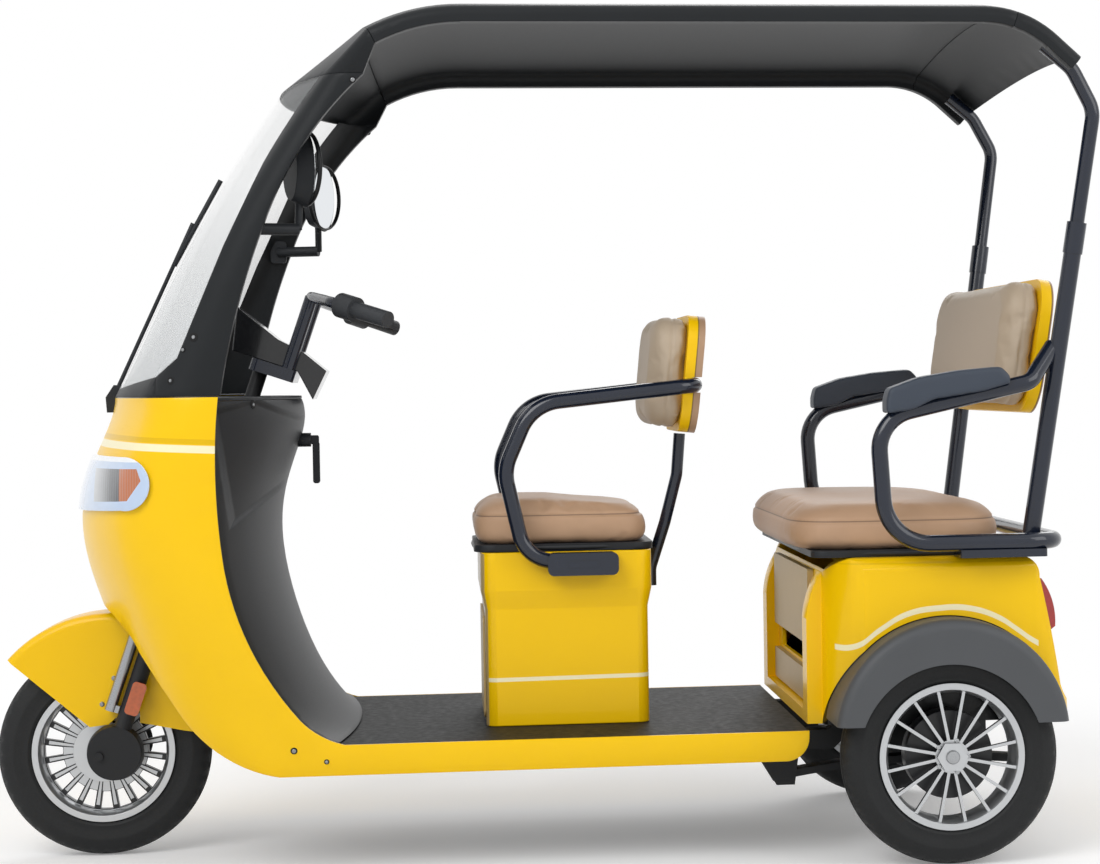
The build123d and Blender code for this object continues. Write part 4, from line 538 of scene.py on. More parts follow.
class TRICYCLE_OT_panels(bpy.types.Operator):
    """Finish the yellow panels with their pale stripes"""

    bl_idname = "tricycle.panels"
    bl_label = "Body panels"

    def execute(self, context):
        colours, _ = settings()
        pale, gap = tuple(colours.stripe), linear("#1C1810")
        # Body yellow darkened and painted as shade in the nose's fold and along the raised panel's edge
        crease_shade = shade(colours.body, 0.62)
        nose = ((nose_crease_shade, crease_shade), (nose_stripe, pale), (nose_joint, gap))
        dress(["front_shell"], body_finish("moulded_abs_nose", colours, nose), 0.8)
        pedestal = ((pedestal_stripe, pale), (pedestal_front, tuple(colours.tan)))
        dress(["seat_box"], body_finish("moulded_abs_pedestal", colours, pedestal), 3.0, 3)
        # The wheel well's near black is painted shade
        rear = ((arch_stripe, pale), (panel_edge_shade, crease_shade), (body_seam, gap), (wheel_well_shade, linear("#0E0E0F")))
        dress(["rear_body"], body_finish("moulded_abs_rear_body", colours, rear), 1.5)
        dress(["front_fender"], body_finish("moulded_abs_mudguard", colours), 0.8)
        tan = plain_finish("moulded_abs_tan", tuple(colours.tan), 0.42, 1.2, 0.06)
        dress(["bench_front_panels", "seat_box_panel"], tan, 1.2)
        return {"FINISHED"}


# ---- Dark plastic ----

# Side outline of an armrest pad, X and Z in metres, from its front tip along the top and back below
PAD_OUTLINE = (
    (-0.645, 0.862),
    (-0.641, 0.888),
    (-0.653, 0.910),
    (-0.710, 0.930),
    (-0.787, 0.942),
    (-0.867, 0.948),
    (-0.902, 0.931),
    (-0.900, 0.916),
    (-0.834, 0.902),
    (-0.738, 0.888),
    (-0.698, 0.869),
)
# Corners of the pressed pocket on each side of the leg shield, in the XZ plane
POCKET = ((0.600, 0.888), (0.529, 0.908), (0.440, 0.862), (0.478, 0.745), (0.575, 0.668))


def arm_pad_form(side):
    """Skinned foam pad over an armrest tube: its side outline carried across, then eased all over."""
    spots = [v.co for v in NODES["arm_pads"].data.vertices if v.co.y * side > 0]
    low = [min(p[i] for p in spots) for i in range(3)]
    high = [max(p[i] for p in spots) for i in range(3)]
    outline = [(held(x, low[0], high[0]), held(z, low[2], high[2])) for x, z in PAD_OUTLINE]
    bm = bmesh.new()
    rings = [[bm.verts.new((x, y, z)) for x, z in outline] for y in (low[1], high[1])]
    skin(bm, rings, joined=False)
    bm.faces.new(list(reversed(rings[0])))
    bm.faces.new(rings[1])
    bmesh.ops.recalc_face_normals(bm, faces=bm.faces)
    return remeshed(mesh_from("arm_pad_form", bm), 4 * MM, 14)


def shield_finish(name, colour):
    """Grained polypropylene of the leg shield, with a shallow pocket pressed into each side, its floor painted darker
    as shade.
    """
    material, tree = start_material(name)
    fine = grain(tree, 1.6)
    away = beyond_corners(tree, row_axes(tree), POCKET)
    step = add_node(
        tree,
        "MapRange",
        {"Value": away, "From Min": -11 * MM, "From Max": 3 * MM},
        interpolation_type="SMOOTHSTEP",
    )
    height = add_node(tree, "Math", {0: fine, 1: 0.02, 2: step}, operation="MULTIPLY_ADD")
    # The pocket's floor is painted darker as shade
    sunk_in_shade = between(tree, away, high=-4 * MM)
    look = {"Base Color": painted(tree, colour, (shade(colour, 0.8), sunk_in_shade)), "Specular IOR Level": 0.25}
    return closed(material, look | surface(tree, fine, 0.42, 0.5, height, 1.0, 7.0))


class TRICYCLE_OT_trim(bpy.types.Operator):
    """Finish the dark plastic: leg shield, dash, flares, canopy, arm pads and small housings"""

    bl_idname = "tricycle.trim"
    bl_label = "Dark plastic"

    def execute(self, context):
        colours, _ = settings()
        trim = plain_finish("grained_polypropylene", tuple(colours.trim), 0.46, 1.6, 0.22, gloss=0.2)
        canopy = plain_finish("satin_abs_canopy", tuple(colours.canopy), 0.42, 1.2, 0.06, gloss=0.14)
        foam = plain_finish("skinned_foam", linear("#3C434E"), 0.5, 2.0, 0.15)
        flare = plain_finish("grained_polypropylene_flare", tuple(colours.flare), 0.5, 1.6, 0.25)
        gloss = plain_finish("polished_black_abs", linear("#17181A"), 0.16, 12.0, 0.03, coat=0.6)
        dress(["leg_shield"], shield_finish("pressed_polypropylene_shield", tuple(colours.trim)), 1.0)
        dress(["dash_shelf", "driver_seat_pan", "rear_seat_pan"], trim, 1.0)
        dress(["battery_pack", "mirrors", "wiper", "ignition_key"], trim, 1.0)
        dress(["fender_flares"], flare, 1.0)
        dress(["instrument_pod"], gloss, 2.0, 3)
        dress(["pillar_covers", "cowl", "front_header", "roof_panel", "rear_visor"], canopy, 1.5)
        for side, name in ((1, "arm_pad_left"), (-1, "arm_pad_right")):
            pad = new_piece(name, arm_pad_form(side), "chassis", foam)
            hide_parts("arm_pads")
        return {"FINISHED"}


# ---- Tubes, frame, mat and grips ----


def mat_finish(name, colour, pitch):
    """Ribbed rubber mat: lengthwise ribs with painted highlight on their tops and painted shade between them, dust in
    the valleys.
    """
    material, tree = start_material(name)
    phase = all_of(tree, row_axes(tree)["Y"], math.tau / pitch)
    ridge = add_node(tree, "Math", {0: phase}, operation="SINE")
    flat_top = add_node(tree, "MapRange", {"Value": ridge, "From Min": -0.35, "From Max": 0.35})
    dust = grain(tree, 14.0)
    # Rib tops are painted lighter and the valleys darker, as light and shade
    ribs = painted(tree, shade(colour, 0.55), (shade(colour, 1.1), flat_top))
    look = {
        "Base Color": painted(tree, ribs, (shade(colour, 1.7), all_of(tree, dust, 0.16))),
        "Specular IOR Level": 0.12,
    }
    return closed(material, look | surface(tree, dust, 0.48, 0.62, flat_top, 0.9, 1.6))


class TRICYCLE_OT_metal(bpy.types.Operator):
    """Finish the painted tubes, the frame and the running gear"""

    bl_idname = "tricycle.metal"
    bl_label = "Tubes and frame"

    def execute(self, context):
        colours, _ = settings()
        tube = plain_finish("powder_coated_tube", tuple(colours.tube), 0.2, 1.4, 0.04, coat=0.5)
        frame_paint = plain_finish("dipped_frame_paint", linear("#1B1C1E"), 0.5, 2.5, 0.2)
        bright = plain_finish("bright_steel", linear("#9FA1A4"), 0.28, 1.0, 0.04, metallic=1.0)
        dress(["canopy_frame", "driver_hoop", "handlebar"], tube)
        dress(["frame_rails", "leaf_springs", "rear_axle", "floor_plate", "fork"], frame_paint, 0.6)
        dress(["front_shocks"], bright)
        return {"FINISHED"}


class TRICYCLE_OT_rubber(bpy.types.Operator):
    """Finish the ribbed floor mat and the grips"""

    bl_idname = "tricycle.rubber"
    bl_label = "Mat and grips"

    def execute(self, context):
        colours, sizes = settings()
        dress(["floor_mat"], mat_finish("ribbed_rubber_mat", colours.mat, sizes.rib_pitch), 1.0)
        dress(["grips"], plain_finish("moulded_grip_rubber", linear("#3A3C3F"), 0.5, 2.2, 0.4))
        return {"FINISHED"}


# ---- Wheels ----

AXLE_HEIGHT = 0.209
# Tyre, rim, body they ride on, centre of the wheel
WHEELS = (
    ("front_tyre", "front_rim", "front_wheel", (0.861, 0.0, AXLE_HEIGHT)),
    ("rear_tyre_left", "rear_rim_left", "rear_wheel_left", (-0.771, 0.398, AXLE_HEIGHT)),
    ("rear_tyre_right", "rear_rim_right", "rear_wheel_right", (-0.771, -0.398, AXLE_HEIGHT)),
)
# One side of a 3.00-10 class tyre as (radius, across), from the bead to the crown, and its inside
TYRE_SIDE = (
    (0.1405, -0.034),
    (0.147, -0.0385),
    (0.1485, -0.0392),
    (0.150, -0.0386),
    (0.160, -0.0405),
    (0.172, -0.0415),
    (0.1745, -0.0421),
    (0.177, -0.0415),
    (0.188, -0.0385),
    (0.196, -0.0345),
    (0.2015, -0.0295),
    (0.2045, -0.0245),
    (0.2063, -0.0195),
    (0.2075, -0.0150),
    (0.2082, -0.0110),
    (0.2086, -0.0070),
    (0.2089, -0.0030),
)
TYRE_INSIDE = ((0.136, 0.030), (0.134, 0.020), (0.134, -0.020), (0.136, -0.030))
TYRE_SECTION = TYRE_SIDE + tuple((radius, -across) for radius, across in reversed(TYRE_SIDE)) + TYRE_INSIDE
# Rows of TYRE_SIDE that the tread cuts, each group from the outside in
SIPE_ROWS = (8, 9)
SHOULDER_ROWS = (10, 11, 12)
CROWN_ROWS = (14, 15)
# Front rim: windows, radii of its hub disc, of the windows' inner ends and of the spokes' outer ends
FRONT_WINDOWS = 20
FRONT_DISC = 0.062
WINDOW_INNER = 0.083
SPOKE_END = 0.112
# Where the rims' bright flange begins, and how far out of the wheel's middle the turned faces lie
FLANGE_INNER = 0.121
TURNED_FACE = 0.012
# Hub bolts and the nut cover between them as (radius, height) rows
HUB_BOLTS = 5
HUB_BOLT_CIRCLE = 0.031
HUB_BOLT = ((0.0048, -0.001), (0.0048, 0.0030), (0.0036, 0.0036))
HUB_COVER = ((0.0135, -0.001), (0.0135, 0.002), (0.0115, 0.0045), (0.006, 0.0055))


def tyre_finish(name, colour):
    """Moulded tyre rubber: matt, fine grain, a little dust in broad patches."""
    material, tree = start_material(name)
    fine = grain(tree, 3.0)
    dust = all_of(tree, grain(tree, 40.0), 0.6)
    look = {
        "Base Color": painted(tree, shade(colour, 0.8), (shade(colour, 1.5), dust)),
        "Specular IOR Level": 0.3,
    }
    return closed(material, look | surface(tree, fine, 0.50, 0.66, fine, 0.25, 0.5))


def tread_sink(depth):
    """Function of the depth cut from the tyre at a step round it and a row of its section."""

    def sink(step, k):
        if k >= 2 * len(TYRE_SIDE):
            return 0.0
        first_side = k < len(TYRE_SIDE)
        row = k if first_side else 2 * len(TYRE_SIDE) - 1 - k
        # The two sides of the tread are set off by half a block
        phase = (step + (2 if first_side else 0)) % 4
        if row in CROWN_ROWS and (step // 2) % 6 != 5:
            return depth * (0.85 if row == CROWN_ROWS[-1] else 0.3)
        if row in SHOULDER_ROWS and phase == (1 if row == SHOULDER_ROWS[-1] else 0):
            return depth * 0.8
        if row in SIPE_ROWS and phase == 0:
            return depth * 0.35
        return 0.0

    return sink


def front_fins(tree, axes, radius, axle_x):
    """Mask of the front rim's turned faces: its hub disc, a pad inside each window, a rib on each spoke."""
    rise = add_node(tree, "Math", {0: axes["Z"], 1: AXLE_HEIGHT}, operation="SUBTRACT")
    reach = add_node(tree, "Math", {0: axes["X"], 1: axle_x}, operation="SUBTRACT")
    turn = add_node(tree, "Math", {0: rise, 1: reach}, operation="ARCTAN2")
    count = {0: turn, 1: FRONT_WINDOWS / math.tau, 2: FRONT_WINDOWS}
    count = add_node(tree, "Math", count, operation="MULTIPLY_ADD")
    share = add_node(tree, "Math", {0: count}, operation="FRACT")
    off_spoke = away_from(tree, share, 0.5)
    rib = between(tree, off_spoke, high=0.1)
    pad = all_of(tree, between(tree, off_spoke, low=0.2), between(tree, radius, high=WINDOW_INNER))
    fins = all_of(tree, any_of(tree, rib, pad), between(tree, radius, high=SPOKE_END))
    return any_of(tree, fins, between(tree, radius, high=FRONT_DISC))


def alloy_finish(name, colour, axle_x, axle_y):
    """Cast alloy wheel: bright turned faces with fine rings, dark paint in the barrel behind the spokes."""
    material, tree = start_material(name)
    axes = row_axes(tree)
    radius = distance_from(tree, axes, axle_x, AXLE_HEIGHT)
    if axle_y:
        face = between(tree, away_from(tree, axes["Y"], axle_y), low=TURNED_FACE)
    else:
        face = front_fins(tree, axes, radius, axle_x)
    facing = away_from(tree, facing_axes(tree)["Y"], 0.0)
    lit = any_of(tree, all_of(tree, facing, face), between(tree, radius, low=FLANGE_INNER))
    bright = add_node(tree, "MapRange", {"Value": lit, "From Min": 0.35, "From Max": 0.75})
    rings = add_node(tree, "TexNoise", {"Vector": add_node(tree, "CombineXYZ", {0: radius}), "Scale": 900.0})
    look = {
        "Base Color": painted(tree, linear("#17181B"), (tuple(colour), bright)),
        "Metallic": all_of(tree, bright, 0.9),
    }
    return closed(material, look | surface(tree, rings, 0.28, 0.42, rings, 0.08, 0.15))


def hub_bolts(bm, rim, centre, side):
    """Hexagon bolts round the hub and a round nut cover in its middle."""
    outward = Vector((0, side, 0))
    start = Vector(centre) + outward * 0.3
    for turn in turns(HUB_BOLTS):
        turn += math.pi / HUB_BOLTS
        spot = start + HUB_BOLT_CIRCLE * Vector((math.cos(turn), 0, math.sin(turn)))
        lathed(bm, surface_under(rim, spot, -outward)[0], outward, HUB_BOLT, 6)
    lathed(bm, surface_under(rim, start, -outward)[0], outward, HUB_COVER, 28)


class TRICYCLE_OT_tyres(bpy.types.Operator):
    """Replace the plain tyres with ones that have tread, shoulder sipes and sidewall rings"""

    bl_idname = "tricycle.tyres"
    bl_label = "Tyres"

    def execute(self, context):
        colours, sizes = settings()
        rubber = tyre_finish("moulded_tyre_rubber", tuple(colours.rubber))
        for tyre, _, body, centre in WHEELS:
            bm = bmesh.new()
            spun(bm, centre, TYRE_SECTION, 4 * sizes.tread_blocks, tread_sink(sizes.tread_depth))
            piece = new_piece(tyre + "_tread", mesh_from(tyre + "_tread", bm), body, rubber)
            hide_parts(tyre)
        return {"FINISHED"}


class TRICYCLE_OT_wheels(bpy.types.Operator):
    """Finish the cast wheels and bolt the rear ones to their hubs"""

    bl_idname = "tricycle.wheels"
    bl_label = "Wheels"

    def execute(self, context):
        colours, _ = settings()
        steel = plain_finish("zinc_plated_steel", linear("#A9ABAD"), 0.3, 1.0, 0.05, metallic=0.9)
        for _, rim, body, centre in WHEELS:
            dress([rim], alloy_finish("cast_alloy_" + rim, colours.alloy, centre[0], centre[1]), 0.6)
            if centre[1] == 0:
                continue
            bm = bmesh.new()
            hub_bolts(bm, rim, centre, math.copysign(1, centre[1]))
            new_piece(rim + "_bolts", mesh_from(rim + "_bolts", bm), body, steel, smooth=False)
        return {"FINISHED"}


# ---- Lamps, glass and mirrors ----

# Corners of the lamp bowl behind the lens, in the XZ plane; where its amber end stops and where it clears
LAMP_BOWL = ((0.835, 0.781), (0.739, 0.783), (0.731, 0.761), (0.759, 0.724), (0.835, 0.719))
AMBER_END = 0.775
BOWL_CLEARS = (0.794, 0.84)
# Height over which the light guide round the bowl is white
GUIDE_TOP = 0.795
MIRROR_RIM = 4.5 * MM


def lens_finish(name, colour):
    """Moulded lamp lens: tinted, glossy, with small prisms behind its face."""
    material, tree = start_material(name)
    prisms = add_node(tree, "TexVoronoi", {"Vector": row_place(tree), "Scale": 1000 / 7.0}, feature="F1")
    look = {"Base Color": painted(tree, shade(colour, 0.75), (colour, prisms)), "Coat Weight": 0.8}
    return closed(material, look | surface(tree, prisms, 0.08, 0.14, prisms, 0.15, 0.4))


def headlamp_finish(name):
    """Headlamp: pale light guide as a frame, dark bowl inside it, amber turn signal at the rear end."""
    material, tree = start_material(name)
    axes = row_axes(tree)
    bowl = between(tree, beyond_corners(tree, axes, LAMP_BOWL), high=0.0)
    front, clear = BOWL_CLEARS
    clears = add_node(tree, "MapRange", {"Value": axes["X"], "From Min": front, "From Max": clear})
    amber = between(tree, axes["X"], high=AMBER_END)
    inner = painted(tree, linear("#34373D"), (linear("#C9CDD1"), clears), (linear("#BE6320"), amber))
    guide_top = between(tree, axes["Z"], low=GUIDE_TOP)
    ribs = add_node(tree, "TexWave", {"Vector": row_place(tree), "Scale": 60.0}, bands_direction="X")
    base = painted(
        tree,
        linear("#BCD0EC"),
        (linear("#F2F6FA"), guide_top),
        (inner, bowl),
        (shade(linear("#DDE3EA"), 0.6), all_of(tree, ribs.outputs["Fac"], bowl, 0.18)),
    )
    return closed(material, {"Base Color": base, "Roughness": 0.12, "Coat Weight": 1.0, "Coat Roughness": 0.02})


def clear_finish(name, colour):
    """Clear sheet: seen through almost evenly, more opaque white towards its foot, with a sharp reflection."""
    material, tree = start_material(name)
    smear = {"Value": grain(tree, 60.0), "From Min": NOISE_LOW, "From Max": NOISE_HIGH, "To Min": 0.02, "To Max": 0.07}
    # More opaque white low down, less higher up
    white_layer = {"Value": row_axes(tree)["Z"], "From Min": 0.95, "From Max": 1.35, "To Min": 0.34, "To Max": 0.10}
    look = {
        "Base Color": colour,
        "Roughness": add_node(tree, "MapRange", smear),
        "Alpha": add_node(tree, "MapRange", white_layer),
        "IOR": 1.49,
        "Specular IOR Level": 0.5,
    }
    return closed(material, look)


def mirror_rim(side):
    """Round bead that holds a mirror glass in its housing."""
    mesh = NODES["mirror_glasses"].data
    spots = [v.co for v in mesh.vertices if v.co.y * side > 0]
    centre = sum(spots, Vector()) / len(spots)
    faces = [p for p in mesh.polygons if p.center.y * side > 0 and p.normal.x < 0]
    normal = max(faces, key=lambda p: p.area).normal.copy()
    radius = max((p - centre).length for p in spots)
    turn = normal.to_track_quat("Z", "Y").to_matrix()
    path = []
    for angle in turns(56):
        out = turn @ Vector((math.cos(angle), math.sin(angle), 0))
        path.append((centre + out * radius + normal * MM, out, normal))
    return bead("mirror_rim", path, MIRROR_RIM * 0.6, MIRROR_RIM, 10)


class TRICYCLE_OT_lamps(bpy.types.Operator):
    """Finish headlamps, tail lamps and side reflectors"""

    bl_idname = "tricycle.lamps"
    bl_label = "Lamps"

    def execute(self, context):
        dress(["headlamps"], headlamp_finish("clear_lamp_lens"), 2.0, 3)
        dress(["tail_lamps"], lens_finish("red_lamp_lens", linear("#B01A12")), 2.0)
        dress(["fork_reflectors"], lens_finish("amber_reflector", linear("#C65B1B")), 1.0)
        return {"FINISHED"}


class TRICYCLE_OT_glazing(bpy.types.Operator):
    """Finish the windscreen and the mirrors"""

    bl_idname = "tricycle.glazing"
    bl_label = "Glass and mirrors"

    def execute(self, context):
        dress(["windshield"], clear_finish("clear_polycarbonate", linear("#E4E8EA")))
        mirror = plain_finish("silvered_mirror", linear("#E6E9EC"), 0.06, 30.0, 0.0, metallic=1.0, drift=0.02)
        dress(["mirror_glasses"], mirror)
        black = plain_finish("mirror_housing_black", linear("#141517"), 0.35, 2.0, 0.08, gloss=0.25)
        for side, name in ((1, "mirror_rim_left"), (-1, "mirror_rim_right")):
            new_piece(name, mirror_rim(side), "chassis", black)
        return {"FINISHED"}


# ---- Cushions and backrests ----

# Planes that depth is measured from: a point in X and Z, degrees of lean
SEAT_PLANE = ((0.0, 0.0), 90.0)
DRIVER_BACK = ((-0.334, 0.941), 6.0)
REAR_BACK = ((-0.9897, 0.98575), 8.5)
# Backrest shells: CAD node, plane, and the depth at which body yellow takes over from tan
SHELLS = (("driver", DRIVER_BACK, 0.014), ("rear", REAR_BACK, 0.003))
# CAD node, body, plane, depth of the side seam, fill, voxel in millimetres, fall of a cushion to the rear
PADS = (
    ("driver_cushion", "driver_seat", SEAT_PLANE, 0.668, 0.75, 6, 0.18),
    ("rear_cushion", "rear_seat", SEAT_PLANE, 0.655, 0.7, 7, 0.06),
    ("driver_back_pad", "chassis", DRIVER_BACK, 0.064, 0.7, 6, None),
    ("rear_back_pad", "chassis", REAR_BACK, 0.052, 0.7, 6, None),
)
# Section of a seat cushion from its flat base to its crown: share of the half size, share of the height
CUSHION_SECTION = (
    (0.5, 0.0),
    (0.90, 0.0),
    (0.955, 0.04),
    (0.985, 0.16),
    (0.995, 0.34),
    (0.985, 0.54),
    (0.955, 0.70),
    (0.90, 0.82),
    (0.80, 0.90),
    (0.62, 0.955),
    (0.36, 0.985),
)
# Powers that square the cushion's plan along X and Y
PLAN_POWERS = (0.42, 0.30)
PAD_PRESSURE = 4.0
PAD_FRAMES = 18
# How far a cover starts inside its solid, and how far past its upper faces it may swell
PAD_SHRINK = 4 * MM
PAD_SPARE = 2 * MM
# Half the width of the drawn-in strip along a side seam, and its depth
SEAM_HALF = 4.5 * MM
SEAM_DEPTH = 2.2 * MM
# Corner radius of a pan lip's path, and how far the lip stands past the pan
LIP_CORNER = 0.045
LIP_STANDS = 4 * MM


def vinyl_finish(name, colour, plane, seam):
    """Upholstery vinyl: pebbled grain of about 2 mm, soft sheen, paler over its sharp convex edges."""
    material, tree = start_material(name)
    pebbles = add_node(tree, "TexVoronoi", {"Vector": row_place(tree), "Scale": 1000 / 2.2}, feature="F1")
    broad = grain(tree, 90.0, detail=2.5)
    pointed = add_node(tree, "NewGeometry").outputs["Pointiness"]
    pale_edges = add_node(tree, "MapRange", {"Value": pointed, "From Min": 0.5, "From Max": 0.56})
    stitched = band(tree, depth_along(tree, row_axes(tree), plane), seam, 1.1 * MM)
    look = {
        "Base Color": painted(
            tree,
            shade(colour, 0.88),
            (shade(colour, 1.1), broad),
            # Lighter where the surface is most convex
            (shade(colour, 1.22), all_of(tree, pale_edges, 0.35)),
            (shade(colour, 0.35), all_of(tree, stitched, 0.8)),
        ),
        "Sheen Weight": 0.1,
        "Sheen Roughness": 0.4,
        "Specular IOR Level": 0.3,
    }
    return closed(material, look | surface(tree, broad, 0.44, 0.54, pebbles, 0.25, 0.25))


def band_shell_finish(name, colours, plane, split):
    """Moulded backrest shell: band of body yellow next to the pad, tan back behind the depth of split."""
    material, tree = start_material(name)
    depth = depth_along(tree, row_axes(tree), plane)
    fine = grain(tree, 2.0)
    look = {
        "Base Color": painted(
            tree,
            shade(colours.vinyl, 0.95),
            (tuple(colours.body), between(tree, depth, low=split)),
            (linear("#3A2E12"), all_of(tree, band(tree, depth, split, 1.2 * MM), 0.7)),
        ),
        "Specular IOR Level": 0.35,
    }
    return closed(material, look | surface(tree, fine, 0.38, 0.48, fine, 0.12, 0.3))


def cushion_form(low, high, fall):
    """Crowned cushion lofted on its section, with rounded plan corners and a top that falls to the rear."""
    bm = bmesh.new()
    centre = (low + high) / 2
    half = (high - low) / 2
    rings = []
    for width, rise in CUSHION_SECTION:
        ring = []
        for turn in turns(96):
            x = math.copysign(abs(math.cos(turn)) ** PLAN_POWERS[0], math.cos(turn))
            y = math.copysign(abs(math.sin(turn)) ** PLAN_POWERS[1], math.sin(turn))
            place = Vector((centre.x, centre.y, low.z))
            place.x += half.x * width * x
            place.y += half.y * (0.4 + 0.6 * width) * y
            place.z += 2 * half.z * rise * (1 - fall * (1 - x) / 2)
            ring.append(bm.verts.new(place))
        rings.append(ring)
    skin(bm, rings, joined=False)
    bm.faces.new(list(reversed(rings[0])))
    bm.faces.new(rings[-1])
    bmesh.ops.recalc_face_normals(bm, faces=bm.faces)
    return mesh_from("cushion_form", bm)


def drawn_in(name, shrink):
    """Copy of a CAD solid's mesh, a little smaller so that its cover has room to swell."""
    mesh = NODES[name].data.copy()
    low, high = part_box(name)
    centre = (low + high) / 2
    scale = [max(0.5, 1 - 2 * shrink / max(high[i] - low[i], 1e-6)) for i in range(3)]
    for v in mesh.vertices:
        v.co = Vector(centre[i] + (v.co[i] - centre[i]) * scale[i] for i in range(3))
    return mesh


def evaluated(temp):
    """Mesh of a scratch object with its modifiers applied; the object is removed."""
    graph = bpy.context.evaluated_depsgraph_get()
    made = bpy.data.meshes.new_from_object(temp.evaluated_get(graph))
    bpy.data.objects.remove(temp)
    return made


def remeshed(mesh, voxel, eased):
    """Closed even mesh of a solid, eased over its sharp edges."""
    temp = bpy.data.objects.new("pad_start", mesh)
    bpy.context.scene.collection.objects.link(temp)
    even = temp.modifiers.new("even", "REMESH")
    even.mode = "VOXEL"
    even.voxel_size = voxel
    ease = temp.modifiers.new("ease", "SMOOTH")
    ease.iterations = eased
    return evaluated(temp)


def refined(mesh):
    """One subdivision, applied."""
    temp = bpy.data.objects.new("pad_fine", mesh)
    bpy.context.scene.collection.objects.link(temp)
    finer = temp.modifiers.new("fine", "SUBSURF")
    finer.levels = finer.render_levels = 1
    return evaluated(temp)


def inflate(piece, cap):
    """Lets the cover swell as filled cloth, and keeps each point within cap of where it began."""
    scene = bpy.context.scene
    start = [v.co.copy() for v in piece.data.vertices]
    cloth = piece.modifiers.new("cover", "CLOTH")
    cloth.settings.quality = 4
    cloth.settings.mass = 0.3
    cloth.settings.tension_stiffness = 12
    cloth.settings.compression_stiffness = 12
    cloth.settings.bending_stiffness = 1.5
    cloth.settings.use_pressure = True
    cloth.settings.uniform_pressure_force = PAD_PRESSURE
    cloth.settings.effector_weights.gravity = 0
    cloth.collision_settings.use_collision = False
    cloth.point_cache.frame_start = 1
    cloth.point_cache.frame_end = PAD_FRAMES
    for step in range(1, PAD_FRAMES + 1):
        scene.frame_set(step)
    graph = bpy.context.evaluated_depsgraph_get()
    swollen = [v.co.copy() for v in piece.evaluated_get(graph).data.vertices]
    piece.modifiers.remove(cloth)
    scene.frame_set(1)
    for v, old, new in zip(piece.data.vertices, start, swollen):
        move = new - old
        if move.length > cap:
            move *= cap / move.length
        v.co = old + move


def keep_in(piece, low, high, spare):
    """Holds a padded piece inside its CAD solid's box, with a little spare at the upper faces."""
    for v in piece.data.vertices:
        v.co = [held(v.co[i], low[i], high[i] + spare) for i in range(3)]


def sew(piece, plane, seam):
    """Draws the cover in along its side seam."""
    (x, z), lean = plane
    turn = math.radians(lean)
    piece.data.update()
    normals = [v.normal.copy() for v in piece.data.vertices]
    for v, normal in zip(piece.data.vertices, normals):
        depth = (v.co.x - x) * math.cos(turn) + (v.co.z - z) * math.sin(turn)
        away = abs(depth - seam) / SEAM_HALF
        if away < 1:
            v.co -= normal * SEAM_DEPTH * (1 - away * away)


def pan_lip(name, low, high, sizes):
    """Rounded rim swept round the edge of a seat pan."""
    centre = (low + high) / 2
    half = (high - low) / 2
    wide = sizes.lip_width / 2
    flat_x = half.x - wide + LIP_STANDS - LIP_CORNER
    flat_y = half.y - wide + LIP_STANDS - LIP_CORNER
    path = []
    for turn in turns(160):
        x, y = math.cos(turn), math.sin(turn)
        flat = Vector((flat_x * held(1.5 * x, -1.0, 1.0), flat_y * held(1.5 * y, -1.0, 1.0), 0))
        out = Vector((x, y, 0))
        path.append((centre + flat + out * LIP_CORNER, out, Vector((0, 0, 1))))
    return bead(name, path, wide, sizes.lip_height / 2, 10)


class TRICYCLE_OT_padding(bpy.types.Operator):
    """Replace the plain cushions and backrest pads with swollen, sewn vinyl covers"""

    bl_idname = "tricycle.padding"
    bl_label = "Cushions"

    def execute(self, context):
        colours, sizes = settings()
        for name, body, plane, seam, fill, voxel, fall in PADS:
            low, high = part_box(name)
            start = drawn_in(name, PAD_SHRINK) if fall is None else cushion_form(low, high, fall)
            vinyl = vinyl_finish("upholstery_vinyl_" + name, tuple(colours.vinyl), plane, seam)
            piece = new_piece(name + "_cover", remeshed(start, voxel * MM, 8), body, vinyl)
            inflate(piece, sizes.swell)
            keep_in(piece, low, high, PAD_SPARE)
            piece.data = refined(piece.data)
            sew(piece, plane, seam)
            shade_smooth(piece.data)
            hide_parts(name)
        for seat, plane, split in SHELLS:
            shell = band_shell_finish("banded_back_" + seat, colours, plane, split)
            dress([seat + "_back_shell"], shell, 8.0, 4)
        edge = plain_finish("moulded_pan_lip", linear("#26282B"), 0.4, 1.4, 0.15)
        for body in ("driver_seat", "rear_seat"):
            lip = body + "_pan_lip"
            low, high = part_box(body + "_pan")
            new_piece(lip, pan_lip(lip, low, high, sizes), body, edge)
        return {"FINISHED"}


# ---- Screws ----

# Seen on both sides: node that carries it, X and Z in metres, radius, whether it sits in a dark recess, drawn as a
# disc of painted shadow
SCREWS = (
    ("pillar_covers", 0.630, 1.023, 8.5 * MM, True),
    ("pillar_covers", 0.650, 1.000, 5.0 * MM, False),
    ("pillar_covers", 0.674, 0.944, 7.5 * MM, True),
    ("pillar_covers", 0.332, 1.488, 6.0 * MM, False),
    ("front_shell", 0.467, 0.247, 6.5 * MM, False),
    ("front_shell", 0.407, 0.224, 5.0 * MM, False),
    ("leg_shield", 0.533, 0.897, 8.5 * MM, True),
)
MUDGUARD_SCREWS = ((0.835, 0.358), (0.859, 0.307))
MUDGUARD_SCREW_RADIUS = 5.0 * MM
# Profiles of what shows of a screw: share of its radius, height in millimetres
# A recess is a near-black disc of painted shadow round the screw's head
RECESS = ((1.0, -1.0), (1.0, 0.6), (0.9, 0.9))
RECESSED_HEAD = ((0.4, 0.0), (0.4, 1.8), (0.3, 2.4))
WASHER = ((1.0, -1.0), (1.0, 0.7), (0.92, 1.0))
HEAD = ((0.62, 0.0), (0.62, 2.2), (0.4, 3.0))
BARE_HEAD = ((1.0, -1.0), (1.0, 1.2), (0.6, 2.8))


def screw_part(bm, seat, profile, radius, steps):
    """One turned part of a screw, on the place and normal in seat."""
    place, normal = seat
    lathed(bm, place, normal, [(radius * share, height * MM) for share, height in profile], steps)


